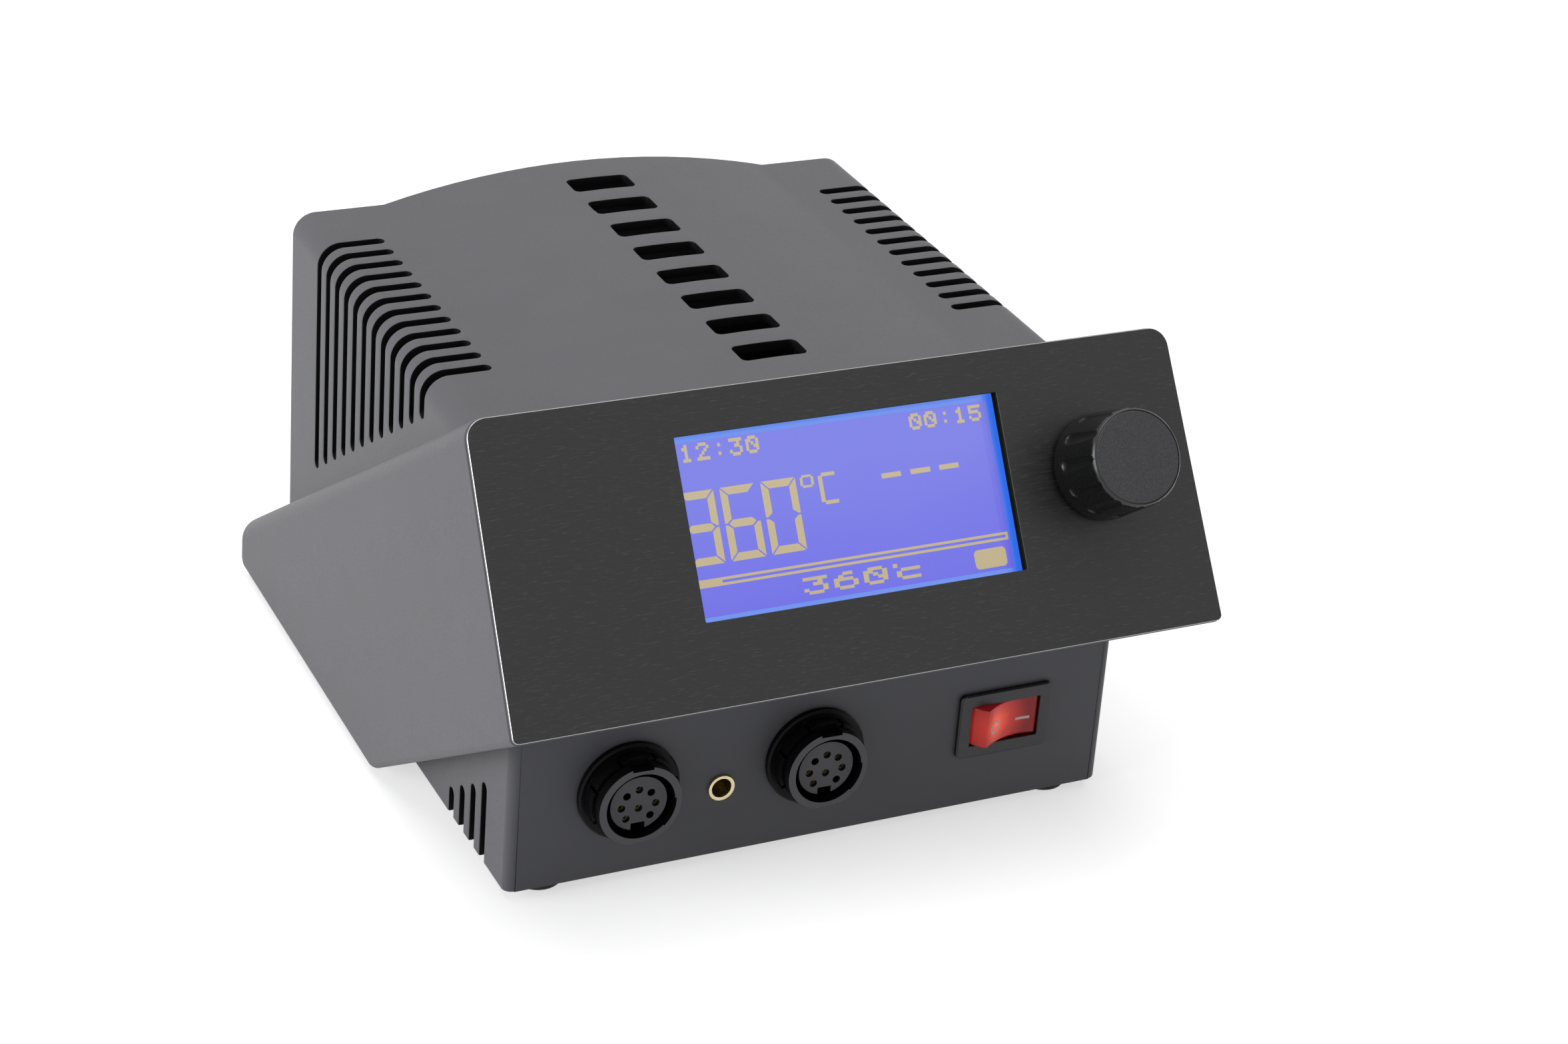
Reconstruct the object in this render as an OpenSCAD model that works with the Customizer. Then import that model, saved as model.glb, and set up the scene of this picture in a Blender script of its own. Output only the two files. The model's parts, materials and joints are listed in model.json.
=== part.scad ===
// Two-channel soldering station: power unit with a tilted control panel,
// display, encoder knob, two tool sockets, bonding socket and lit mains switch.
// Lengths are in millimetres. +Z is up, the front faces -Y, and the origin is
// under the middle of the station, on the surface that it stands on.

/* [Housing] */
// Width over the side walls at their lower edge
body_w = 132.9; // [130:0.1:137]
// Depth of the housing from the lower front face to the rear face
body_d = 136.1; // [134:0.1:144]
// Height of the flat side ledges at the rear, over the housing's lower edge
ledge_h = 88.2; // [85:0.1:90]
// Wall thickness of the top cover
cover_wall = 2.2; // [1.8:0.1:2.6]
// Draft of the side walls, in degrees
side_draft = 0.49; // [0.3:0.01:0.7]
// Fall of the roof towards the front, in degrees
roof_fall = 0.97; // [0.6:0.01:1.2]
// Radius of the long top edges
edge_r = 5; // [3.5:0.1:6]
// Width of the arch on the roof
arch_w = 90.6; // [86:0.1:94]
// Rise of the arch over the ledges
arch_rise = 5.65; // [4.5:0.05:6.5]
// Thickness of the tray's floor
floor_t = 2.2; // [1.8:0.1:3]
// Thickness of the tray's front wall
front_t = 2.5; // [2:0.1:3]
// Thickness of the rear panel
rear_t = 2; // [1.5:0.1:3]
// Gap between the cover and the pieces that close it
shell_gap = 0.15; // [0.1:0.01:0.25]
// Radius on the upright front edges of the side walls
corner_r = 2.1; // [1:0.1:2.1]

/* [Control panel and hood] */
// Lean of the control panel back from upright, in degrees
panel_tilt = 33; // [31:0.1:35]
// Height of the panel, measured up its slope
panel_h = 59.7; // [58:0.1:63]
// Width of the panel along its lower edge
panel_low_w = 150.9; // [149:0.1:156]
// Width of the panel along its upper edge
panel_top_w = 148.5; // [146:0.1:149]
// Height of the panel's lower edge over the housing's lower edge
panel_z = 49.2; // [47:0.1:52]
// Distance that the panel's lower edge stands in front of the lower front face
overhang = 23.8; // [22:0.1:26]
// Thickness of the panel plate
panel_t = 1; // [0.8:0.1:2]
// Radius of the panel's upper corners
panel_corner_r = 4; // [3:0.1:7]
// Radius of the panel's lower corners
panel_low_r = 1.2; // [0.8:0.1:2]
// Width of hood that shows round the plate
hood_rim = 0.2; // [0.2:0.1:1]
// Wall thickness of the hood and its wings
hood_wall = 2.2; // [1.8:0.1:2.6]
// How far the wings reach behind the rear face
wing_tail = 9.2; // [8:0.1:14]
// Radius on the wings' upper rear corners
wing_r = 3.5; // [2:0.1:5]
// Radius on the wings' lower rear corners
wing_low_r = 2; // [1:0.1:3]
// Depth of the bay for the display and encoder, behind the panel's face
bay_d = 24; // [22:0.5:26]
// Depth behind the panel's face at which the roof may start
roof_start = 8; // [7:0.5:10]

/* [Vents] */
// Number of slots over each top edge
slot_count = 12; // [8:1:12]
// Number of short slots low in each side wall
low_slot_count = 4; // [2:1:4]
// Distance from slot to slot
slot_pitch = 5.79; // [5.2:0.01:5.9]
// Width of a slot
slot_w = 2.5; // [1.5:0.1:3]
// Distance of the rearmost slot from the rear face
slot_rear = 18.3; // [16:0.1:22]
// Distance of the foremost low slot from the front face
slot_front = 12.9; // [11:0.1:16]
// Upright distance of the slot ends from the wing
slot_gap = 7.5; // [5:0.1:10]
// Length of a slot's flat part on the ledge, measured from the arch
slot_start = 6.2; // [4:0.1:9]
// Number of roof vents
vent_count = 8; // [5:1:8]
// Distance from vent to vent
vent_pitch = 12.5; // [11:0.1:12.6]
// Width of a roof vent across the station
vent_w = 14.1; // [10:0.1:20]
// Length of a roof vent along the station
vent_l = 6.6; // [4:0.1:8]
// Corner radius of a roof vent
vent_r = 1.3; // [0.5:0.1:1.8]
// Distance of the rearmost vent from the rear face
vent_rear = 13.2; // [11:0.1:16]

/* [Display] */
// Width of the display window
window_w = 68.5; // [64:0.1:70]
// Height of the display window
window_h = 35.1; // [32:0.1:36]
// Height of the window's and the knob's centre up the panel's slope
control_v = 33.76; // [33:0.01:35]
// How far the display glass reaches past the window on each side
glass_lap = 1.8; // [1:0.1:2.4]
// Thickness of the display glass
glass_t = 2; // [1.5:0.1:3]
// Thickness of the display cell with its backlight
backlight_t = 4.5; // [3:0.1:6]
// Width of the hood's edge that lies back from the window, under the plate
window_lip = 0.4; // [0.2:0.1:1]
// Width of the metal frame's rim round the glass
frame_rim = 2.6; // [1.8:0.1:3]
// How far the display board reaches past the frame on each side
board_ear = 6.6; // [6.2:0.1:7.2]
// Height of the display board
lcd_board_h = 51; // [48:0.5:52]
// Distance of the display board's screws from its upper and lower edges
lcd_hole_in = 3.2; // [2.8:0.1:3.6]
// Thickness of the circuit boards
board_t = 1.6; // [1:0.1:2]

/* [Knob and encoder] */
// Distance of the knob's centre from the right end of the panel's lower edge
knob_in = 21.65; // [20.5:0.05:23]
// Radius of the knob at its foot
knob_r = 10.7; // [9.5:0.1:11]
// Radius of the knob at its front rim
knob_rim_r = 9.8; // [9.7:0.1:10.2]
// Height of the knob
knob_h = 14.8; // [13:0.1:17]
// Gap between the knob and the panel
knob_gap = 0.9; // [0.8:0.1:1.5]
// Radius of the disc in the knob's face
knob_cap_r = 9.05; // [8.5:0.05:9.1]
// Thickness of the disc in the knob's face
knob_cap_t = 1.2; // [0.8:0.1:2]
// Number of flutes round the knob
flute_count = 12; // [8:1:14]
// Radius of a flute's round bottom
flute_r = 2.6; // [2:0.1:3.2]
// Depth of a flute at its lower end
flute_depth = 0.75; // [0.5:0.05:1]
// How much shallower a flute is at the knob's front rim
flute_fade = 0.35; // [0.3:0.05:0.4]
// Radius of the encoder's shaft
shaft_r = 3; // [2.8:0.05:3.2]
// Running clearance round the shaft
shaft_clear = 0.04; // [0.02:0.01:0.08]
// Travel of the knob when it is pressed
press_travel = 0.5; // [0.3:0.1:0.6]
// Radius of the encoder's threaded bush
bush_r = 4.4; // [4.2:0.1:4.8]

/* [Tool sockets] */
// Height of the socket centres over the housing's lower edge
socket_z = 19.2; // [18.5:0.1:20]
// Place of the left tool socket across the front
socket_left_x = -41.6; // [-43:0.1:-40]
// Place of the right tool socket across the front
socket_right_x = -1.3; // [-3:0.1:0]
// Radius of a socket's flange
flange_r = 10.6; // [10.4:0.1:11.4]
// Thickness of a socket's flange
flange_t = 2; // [1.5:0.1:2.5]
// Radius of a socket's front ring
ring_r = 8.75; // [8.5:0.05:9]
// Inner radius of a socket's front ring
ring_in_r = 7.15; // [6.9:0.05:7.3]
// How far a socket stands out of the front face
socket_out = 7; // [6.5:0.1:8]
// Distance of the contact insert's face behind the front ring's face
insert_deep = 1.2; // [0.4:0.1:2]
// Radius of a socket's contact insert
insert_r = 5.95; // [5.8:0.05:6.1]
// Radius of the thread that holds a socket in the front wall
socket_thread_r = 7.9; // [7.6:0.1:8.2]
// Length of a socket behind the front face
socket_back = 12; // [11:0.5:14]
// Radius of the circle of contacts
contact_circle_r = 3.6; // [3.4:0.05:3.7]
// Distance of the circle of contacts below the socket's centre
contact_drop = 0.55; // [0:0.05:0.6]
// Radius of a contact hole
contact_hole_r = 0.8; // [0.7:0.05:0.85]

/* [Bonding socket] */
// Place of the bonding socket across the front
bond_x = -21.4; // [-22.5:0.1:-20.5]
// Height of the bonding socket over the housing's lower edge
bond_z = 15.5; // [14:0.1:17]
// Radius of the bonding socket's rim
bond_r = 2.8; // [2.8:0.1:3.4]
// Radius of the bore that takes the plug
bond_bore_r = 2.05; // [2.02:0.01:2.1]
// Depth of the bore that takes the plug
bond_bore_l = 14; // [12:0.5:16]

/* [Mains switch] */
// Place of the switch across the front
switch_x = 41.7; // [40:0.1:43]
// Height of the switch over the housing's lower edge
switch_z = 19.2; // [18:0.1:20.5]
// Width of the switch's bezel
bezel_w = 21.2; // [20.8:0.1:22]
// Height of the switch's bezel
bezel_h = 14.8; // [14.4:0.1:16]
// How far the bezel stands out of the front face
bezel_t = 1.2; // [1:0.1:1.6]
// Width of the switch's body
switch_body_w = 19.8; // [19.6:0.1:20.2]
// Height of the switch's body
switch_body_h = 12.9; // [12.6:0.1:13.2]
// Depth of the switch's body behind the front face
switch_body_d = 15; // [14:0.5:18]
// Thickness of the switch body's end walls
switch_wall = 0.75; // [0.6:0.05:1]
// Height of the rocker
rocker_h = 8.6; // [8:0.1:9]
// Depth of the pivot behind the bezel's face
pivot_depth = 5.2; // [5:0.1:5.5]
// Lean of each half of the rocker's face, in degrees
rocker_lean = 12; // [10:0.5:12.5]
// Radius of the rocker's pivot pins
pivot_r = 1.2; // [1:0.05:1.4]
// Running clearance round the pivot pins
pivot_clear = 0.04; // [0.02:0.01:0.08]
// Gap between the rocker and the switch's body
rocker_gap = 0.3; // [0.25:0.05:0.35]

/* [Mains inlet] */
// Place of the mains inlet across the rear
inlet_x = 34; // [30:0.5:36]
// Height of the inlet's body centre over the housing's lower edge
inlet_z = 38; // [34:0.5:44]
// Width of the inlet's flange
inlet_flange_w = 50; // [49:0.5:52]
// Thickness of the inlet's flange
inlet_flange_t = 2.5; // [2:0.1:3]
// Distance between the inlet's screws
inlet_screws_w = 40; // [39.5:0.1:41]
// Width of the inlet's socket
inlet_socket_w = 24.6; // [24.2:0.1:25]
// Height of the inlet's socket
inlet_socket_h = 16.8; // [16.4:0.1:17.2]
// Depth of the inlet's socket
inlet_socket_d = 17; // [16:0.5:19]
// Wall thickness of the inlet's body
inlet_wall = 1.5; // [1.2:0.1:1.8]
// Height of the fuse drawer
drawer_h = 6.6; // [6.4:0.1:7.4]
// Depth of the fuse drawer
drawer_d = 13; // [12:0.5:15]
// Gap round the fuse drawer
drawer_gap = 0.3; // [0.2:0.05:0.4]
// Radius of the fuse
fuse_r = 2.6; // [2.4:0.1:2.7]
// Length of the fuse
fuse_l = 20; // [18:0.5:20]

/* [Feet] */
// Radius of a rubber foot
foot_r = 5; // [4.5:0.1:6]
// Height of a rubber foot
foot_h = 2.5; // [2:0.1:3.5]
// Distance of the feet from the side walls, to their centres
foot_in_x = 9.5; // [7.5:0.1:10]
// Distance of the feet from the front and rear faces, to their centres
foot_in_y = 6.8; // [6.5:0.1:10]

/* [Power supply] */
// Width of the transformer's core, along the station
core_w = 75; // [70:0.5:76]
// Height of the transformer's core
core_h = 62.5; // [58:0.5:64]
// Stack thickness of the transformer's core
core_t = 30; // [26:0.5:32]
// Place of the transformer across the station
core_x = -34; // [-35:0.5:-32]
// How far the winding stands out of the core on each side
coil_out = 10; // [8:0.5:11]
// Thickness of the strap that clamps the core
strap_t = 1.2; // [1:0.1:1.6]
// Length of the strap's feet
strap_foot = 11; // [10:0.5:12]
// Width of the main board
board_w = 56; // [54:0.5:57]
// Length of the main board
board_l = 74; // [72:0.5:78]
// Height of the main board's underside over the tray's floor
board_up = 8; // [6:0.5:10]
// Distance of the main board from the front wall's inner face
board_front = 27; // [26:0.5:30]
// Distance of the main board's right edge from the middle of the station
board_right = 57; // [56:0.5:57]
// Gap between the heat sink and the row of terminal blocks
block_gap = 4; // [2:0.5:5]
// Radius of the capacitors
cap_r = 8; // [6:0.5:9]
// Height of the capacitors
cap_h = 26; // [20:0.5:32]
// Height of the heat sink
sink_h = 34; // [28:0.5:38]
// Number of fins on the heat sink
fin_count = 5; // [3:1:6]

/* [Fasteners] */
// Radius of the thread of the small screws
screw_r = 1.5; // [1.4:0.05:1.6]
// Radius of the heads of the small screws
head_r = 2.8; // [2.6:0.1:3]
// Height of the heads of the small screws
head_h = 1.8; // [1.4:0.1:2.2]
// Clearance of a screw in a through hole
screw_clear = 0.2; // [0.1:0.05:0.3]
// Radius of the bosses that the screws bite in
boss_r = 3.5; // [3.2:0.1:3.8]

/* [Hidden] */

$fn = 64;
far = 400;          // longer than the whole station
eps = 0.01;         // overlap of pieces of one solid
seat_gap = 0.08;    // play under a head that sits on a sloping face or in a countersink
below = 8;          // how far the housing's section is drawn under its lower edge
sides = [-1, 1];

front_y = overhang;
rear_y = front_y + body_d;
tail_y = rear_y + wing_tail;
side_slope = tan(side_draft);
arch_r = (pow(arch_w / 2, 2) + pow(arch_rise, 2)) / (2 * arch_rise);

// The panel's lean, as the parts of a unit vector up its slope
up_y = sin(panel_tilt);
up_z = cos(panel_tilt);
slope = up_y / up_z;
// Height of the hood's upper and lower faces at a distance y behind the panel's foot
function hood_top(y) = panel_z + (panel_h + hood_rim) / up_z - y * slope;
function hood_low(y) = panel_z - hood_rim / up_z - y * slope;
// Half width of the hood at v up the slope, over its outer faces
half_fall = (panel_low_w - panel_top_w) / 2 / panel_h;
function hood_half(v) = panel_low_w / 2 + hood_rim - v * half_fall;
// Half width of the housing at height z
function body_half(z) = body_w / 2 - z * side_slope;

web_z = -panel_t - hood_wall;
knob_x = panel_low_w / 2 - knob_in;
knob_face = knob_gap + knob_h;
inner_front = front_y + front_t;
inner_rear = rear_y - rear_t;
board_z = floor_t + board_up;
board_top = board_z + board_t;

// ---------------------------------------------------------------- frames

// Everything is drawn with y = 0 at the panel's lower edge and z = 0 at the
// housing's lower edge, and stood on its feet here
module place() { translate([0, -tail_y / 2, foot_h]) children(); }

// Children lie on the panel: x across, y up its slope, z out of its face
module on_panel() {
    translate([0, 0, panel_z]) rotate([90 - panel_tilt, 0, 0]) children();
}

// Children lie on the lower front face at x, height z, with z out of the face
module on_front(x, z) { translate([x, front_y, z]) rotate([90, 0, 0]) children(); }

// Children lie on the rear face at x, height z, with z out of the face
module on_rear(x, z) { translate([x, rear_y, z]) rotate([90, 0, 180]) children(); }

// ---------------------------------------------------------------- shared shapes

// Plate with round upright edges, centred on the origin, standing on z = 0
module round_plate(w, h, t, r) {
    linear_extrude(height = t) rounded(w, h, r);
}

module rounded(w, h, r) {
    square([w - 2 * r, h], center = true);
    square([w, h - 2 * r], center = true);
    for (x = sides) for (y = sides)
        translate([x * (w / 2 - r), y * (h / 2 - r)]) circle(r);
}

// Pan-head screw with its head's underside at z = 0 and its thread below
module screw(l, r = screw_r, hr = head_r, hh = head_h) {
    difference() {
        cylinder(h = hh, r = hr);
        for (a = [0, 90]) rotate(a)
            translate([-hr * 0.6, -0.35, hh / 2]) cube([hr * 1.2, 0.7, hh]);
    }
    translate([0, 0, -l]) cylinder(h = l + eps, r = r);
}

// Hexagon nut standing on z = 0
module nut(r, bore, h) {
    difference() {
        cylinder(h = h, r = r, $fn = 6);
        translate([0, 0, -1]) cylinder(h = h + 2, r = bore);
    }
}

// ---------------------------------------------------------------- housing

// Upright section of the housing, inset from its outer faces
module section(inset) {
    h = ledge_h - inset;
    r = max(edge_r - inset, 0.5);
    low = body_w / 2 - inset + below * side_slope;
    c_z = h - r;
    c_x = body_w / 2 - inset - c_z * side_slope - r / cos(side_draft);
    t_x = c_x + r * cos(side_draft);
    t_z = c_z + r * sin(side_draft);
    polygon([[-low, -below], [low, -below], [t_x, t_z], [c_x, h], [-c_x, h], [-t_x, t_z]]);
    for (s = sides) translate([s * c_x, c_z]) circle(r + eps);
    intersection() {
        translate([0, ledge_h + arch_rise - arch_r]) circle(arch_r - inset, $fn = 180);
        translate([-arch_w / 2 - edge_r, h - edge_r]) square([arch_w + 2 * edge_r, far]);
    }
}

// The housing's outer form between two places along the station, inset
module tunnel(inset, from, to, bottom = 0) {
    intersection() {
        translate([0, rear_y, ledge_h]) rotate([roof_fall, 0, 0])
            translate([0, far / 2, -ledge_h]) rotate([90, 0, 0])
                linear_extrude(height = far) section(inset);
        translate([-far / 2, from, bottom]) cube([far, to - from, far]);
    }
}

module top_slot(i) {
    y = rear_y - slot_rear - i * slot_pitch;
    z = hood_top(y) + slot_gap + slot_w / 2;
    x = arch_w / 2 + slot_start + slot_w / 2;
    for (m = [0, 1]) mirror([m, 0, 0]) {
        translate([x, y - slot_w / 2, z]) cube([far, slot_w, far]);
        translate([x, y, z]) cylinder(h = far, r = slot_w / 2, $fn = 24);
        translate([x, y, z]) rotate([0, 90, 0]) cylinder(h = far, r = slot_w / 2, $fn = 24);
    }
}

module low_slot(i) {
    y = front_y + slot_front + i * slot_pitch;
    z = hood_low(y) - slot_gap - slot_w / 2;
    for (m = [0, 1]) mirror([m, 0, 0]) translate([body_w / 4, y, 0]) {
        translate([0, -slot_w / 2, -1]) cube([far, slot_w, z + 1]);
        translate([0, 0, z]) rotate([0, 90, 0]) cylinder(h = far, r = slot_w / 2, $fn = 24);
    }
}

// Posts inside the side walls that take the screws from under the tray
cover_boss_y = [front_y + 44, rear_y - 22];
cover_boss_h = 16;
cover_boss_x = body_w / 2 - cover_wall - boss_r + 0.6;
// Blocks at the rear that take the rear panel's screws
rear_boss_d = 10;
rear_boss_z = [16, 72];
rear_boss_x = cover_boss_x - 2;
// Screws from inside the cover into the wings, at v up the slope and n behind it
hood_screw_y = [front_y + 58, front_y + 104];
function hood_screw_z(y) = (hood_top(y) + max(hood_low(y), 0)) / 2;

module cover() { color("#5c5c5f") place() difference() {
    union() {
        difference() {
            tunnel(0, front_y, rear_y);
            tunnel(cover_wall, front_y - 1, rear_y + 1, -1);
        }
        intersection() {
            tunnel(cover_wall / 2, front_y + 1, rear_y - rear_t - shell_gap);
            union() {
                for (s = sides) for (y = cover_boss_y)
                    translate([s * cover_boss_x, y, floor_t])
                        cylinder(h = cover_boss_h, r = boss_r);
                for (s = sides) for (z = rear_boss_z)
                    translate([s * (rear_boss_x + boss_r), rear_y - rear_t - rear_boss_d / 2, z])
                        cube([4 * boss_r, rear_boss_d, 2 * boss_r], center = true);
            }
        }
    }
    // the bay behind the control panel, and the hood's place above it
    on_panel() translate([-far / 2, -far / 2, -roof_start]) cube([far, far, far]);
    on_panel() translate([-far / 2, -far, -bay_d])
        cube([far, far + panel_h + hood_rim - hood_wall, far]);
    for (i = [0 : slot_count - 1]) top_slot(i);
    for (i = [0 : low_slot_count - 1]) low_slot(i);
    for (i = [0 : vent_count - 1])
        translate([0, rear_y - vent_rear - i * vent_pitch, ledge_h / 2])
            round_plate(vent_w, vent_l, far, vent_r);
    for (s = sides) {
        upright_edge(s);
        for (y = cover_boss_y) translate([s * cover_boss_x, y, -1])
            cylinder(h = cover_boss_h + floor_t, r = screw_r);
        for (z = rear_boss_z) on_rear(s * rear_boss_x, z)
            translate([0, 0, -rear_t - rear_boss_d - 1]) cylinder(h = rear_boss_d + 2, r = screw_r);
        for (y = hood_screw_y) translate([0, y, hood_screw_z(y)]) rotate([0, s * 90, 0])
            cylinder(h = far, r = screw_r + screw_clear);
    }
} }

// What is cut away to round an upright front edge of a side wall
module upright_edge(s) {
    translate([s * body_w / 2, front_y, 0]) rotate([0, -s * side_draft, 0])
        mirror([s > 0 ? 0 : 1, 0, 0]) translate([-corner_r, 0, -1]) difference() {
            translate([0, -1, 0]) cube([corner_r + 1, corner_r + 1, ledge_h / 2]);
            translate([0, corner_r, -1]) cylinder(h = ledge_h, r = corner_r);
        }
}

// Outline of the hood across the panel, inset from its outer faces
module hood_outline(inset) {
    top = panel_h + hood_rim - inset;
    low = -hood_rim + inset;
    rt = max(panel_corner_r + hood_rim - inset, 0.5);
    rl = max(panel_low_r + hood_rim - inset, 0.5);
    ht = hood_half(top) - inset;
    hl = hood_half(low) - inset;
    wt = hood_half(top - rt) - inset;
    wl = hood_half(low + rl) - inset;
    polygon([[-hl + rl, low], [hl - rl, low], [wl, low + rl], [wt, top - rt],
        [wt - rt, top], [-wt + rt, top], [-wt, top - rt], [-wl, low + rl]]);
    for (s = sides) {
        translate([s * (wt - rt), top - rt]) circle(rt);
        translate([s * (wl - rl), low + rl]) circle(rl);
    }
}

// The hood's form behind the plate, inset, ended at the tail and at the bottom
module hood_form(inset, start) {
    intersection() {
        on_panel() translate([0, 0, -far]) linear_extrude(height = far - start)
            hood_outline(inset);
        translate([-far / 2, -far / 2, inset]) cube([far, far / 2 + tail_y - inset, far]);
    }
}

// What is cut away to round a rear corner of the wings, at a centre in y and z
module tail_corner(c, r, corner, from, to) {
    rotate([90, 0, 90]) translate([0, 0, -far / 2]) difference() {
        linear_extrude(height = far) polygon([c, from, corner, to]);
        translate([c[0], c[1], -1]) cylinder(h = far + 2, r = r);
    }
}

module hood() { color("#68686b") place() {
    top_c = [tail_y - wing_r, hood_top(tail_y - wing_r) - wing_r / up_z];
    low_c = [tail_y - wing_low_r, wing_low_r];
    difference() {
        union() {
            difference() {
                hood_form(0, panel_t);
                difference() {
                    hood_form(hood_wall, -web_z);
                    tunnel(-hood_wall, rear_y - hood_wall, far, -1);
                }
            }
            intersection() {
                hood_form(hood_wall / 2, -web_z);
                union() {
                    for (s = sides) for (y = hood_screw_y)
                        translate([0, y, hood_screw_z(y)]) rotate([0, s * 90, 0])
                            cylinder(h = far, r = boss_r);
                }
            }
            for (p = lcd_screw_places) on_panel() translate([p[0], p[1], lcd_top])
                cylinder(h = web_z - lcd_top + eps, r = lcd_post_r);
        }
        intersection() {
            tunnel(0, front_y, far, -1);
            on_panel() translate([-far / 2, -far / 2, -far - roof_start]) cube([far, far, far]);
        }
        for (s = sides) for (y = hood_screw_y)
            translate([0, y, hood_screw_z(y)]) rotate([0, s * 90, 0])
                cylinder(h = body_w / 2 + 6, r = screw_r);
        // window, hole for the encoder's bush, and the board's screws
        on_panel() {
            translate([0, control_v, web_z - 1])
                round_plate(window_w + 2 * window_lip, window_h + 2 * window_lip, far, 0.6);
            translate([knob_x, control_v, web_z - 1]) cylinder(h = far, r = bush_r + screw_clear);
            for (p = lcd_screw_places) translate([p[0], p[1], lcd_top - 1])
                cylinder(h = 1 + lcd_screw_l, r = lcd_screw_r);
        }
        tail_corner(top_c, wing_r, [tail_y + 1, hood_top(tail_y) + 2],
            top_c + wing_r * [up_y, up_z] * 1.5, top_c + [wing_r * 1.5, 0]);
        tail_corner(low_c, wing_low_r, [tail_y + 1, -1],
            low_c - [0, wing_low_r * 1.5], low_c + [wing_low_r * 1.5, 0]);
    }
} }

module base_tray() { color("#47474a") place() {
    half = body_w / 2 - cover_wall - shell_gap;
    difference() {
        union() {
            translate([-half, front_y, 0]) cube([2 * half, body_d, floor_t]);
            translate([-half, front_y, 0]) cube([2 * half, front_t, front_top]);
            for (p = foot_places) translate([p[0], p[1], 0]) cylinder(h = foot_boss_h, r = boss_r);
        }
        // the walls lean in with the cover's draft
        for (s = sides) translate([s * half, 0, 0]) rotate([0, -s * side_draft, 0])
            translate([s > 0 ? 0 : -far / 2, 0, -1]) cube([far / 2, far, far]);
        for (x = socket_xs) on_front(x, socket_z) translate([0, 0, -front_t - 1])
            cylinder(h = front_t + 2, r = socket_thread_r + screw_clear);
        on_front(bond_x, bond_z) translate([0, 0, -front_t - 1])
            cylinder(h = front_t + 2, r = bond_thread_r + screw_clear);
        on_front(switch_x, switch_z) translate([0, 0, -front_t / 2])
            cube([switch_body_w + 2 * shell_gap, switch_body_h + 2 * shell_gap, 2 * front_t], center = true);
        for (p = foot_places) translate([p[0], p[1], -1]) cylinder(h = foot_boss_h, r = screw_r);
        for (s = sides) for (y = cover_boss_y) translate([s * cover_boss_x, y, -1])
            cylinder(h = floor_t + 2, r = screw_r + screw_clear);
        for (p = pillar_places) translate([p[0], p[1], floor_t / 2]) cylinder(h = far, r = screw_r);
        for (y = strap_hole_y) translate([core_x, y, floor_t / 2]) cylinder(h = far, r = screw_r);
        translate([earth_x, earth_y, floor_t / 2]) cylinder(h = far, r = earth_r);
    }
} }
socket_xs = [socket_left_x, socket_right_x];
// The front wall ends inside the hood, level with the hood's inner face
front_top = hood_low(front_y) + hood_wall / up_z;
foot_boss_h = floor_t + 4;
foot_places = [for (s = sides) for (y = [front_y + foot_in_y, rear_y - foot_in_y])
    [s * (body_w / 2 - foot_in_x), y]];

module rear_panel() { color("#4b4b4e") place() difference() {
    tunnel(cover_wall + shell_gap, rear_y - rear_t, rear_y);
    translate([-far / 2, rear_y - far / 2, -far + floor_t + shell_gap]) cube([far, far, far]);
    on_rear(inlet_x, inlet_z) translate([0, 0, -rear_t / 2])
        cube([inlet_body_w + 2 * shell_gap, inlet_body_h + 2 * shell_gap, 2 * rear_t], center = true);
    for (s = sides) {
        for (z = rear_boss_z) on_rear(s * rear_boss_x, z)
            translate([0, 0, -rear_t - 1]) cylinder(h = rear_t + 2, r = screw_r + screw_clear);
        on_rear(inlet_x + s * inlet_screws_w / 2, inlet_z)
            translate([0, 0, -rear_t - 1]) cylinder(h = rear_t + 2, r = screw_r);
    }
} }

// ---------------------------------------------------------------- control panel

module control_panel() { color("#2b2b2c") place() on_panel() difference() {
    translate([0, 0, -panel_t]) linear_extrude(height = panel_t) plate_outline();
    translate([0, control_v, -panel_t - 1]) linear_extrude(height = panel_t + 2)
        rounded(window_w, window_h, 0.3);
    translate([knob_x, control_v, -panel_t - 1]) cylinder(h = panel_t + 2, r = bush_r + screw_clear);
} }

module plate_outline() {
    ht = panel_top_w / 2;
    hl = panel_low_w / 2;
    rt = panel_corner_r;
    rl = panel_low_r;
    wt = ht + rt * half_fall;
    wl = hl - rl * half_fall;
    polygon([[-hl + rl, 0], [hl - rl, 0], [wl, rl], [wt, panel_h - rt],
        [wt - rt, panel_h], [-wt + rt, panel_h], [-wt, panel_h - rt], [-wl, rl]]);
    for (s = sides) {
        translate([s * (wt - rt), panel_h - rt]) circle(rt);
        translate([s * (wl - rl), rl]) circle(rl);
    }
}

// The display stack, from the back of the hood's face: glass, cell, board
glass_w = window_w + 2 * glass_lap;
glass_h = window_h + 2 * glass_lap;
glass_clear = 0.25;
glass_top = web_z - 0.05;
cell_gap = 0.1;
light_top = glass_top - glass_t - cell_gap;
lcd_top = light_top - backlight_t;
lcd_back = lcd_top - board_t;
lcd_v = panel_h / 2;
lcd_screw_r = 1.25;
lcd_screw_l = 4;
lcd_post_r = 2.5;
frame_w = glass_w + 2 * frame_rim;
frame_h = glass_h + 2 * frame_rim;
lcd_board_w = frame_w + 2 * board_ear;
lcd_screw_places = [for (s = sides) for (t = sides) [s * (frame_w + board_ear) / 2,
    lcd_v + t * (lcd_board_h / 2 - lcd_hole_in)]];

module display_glass() { color("#cfd6e6", 0.4) place() on_panel()
    translate([0, control_v, glass_top - glass_t]) round_plate(glass_w, glass_h, glass_t, 0.4);
}

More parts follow.
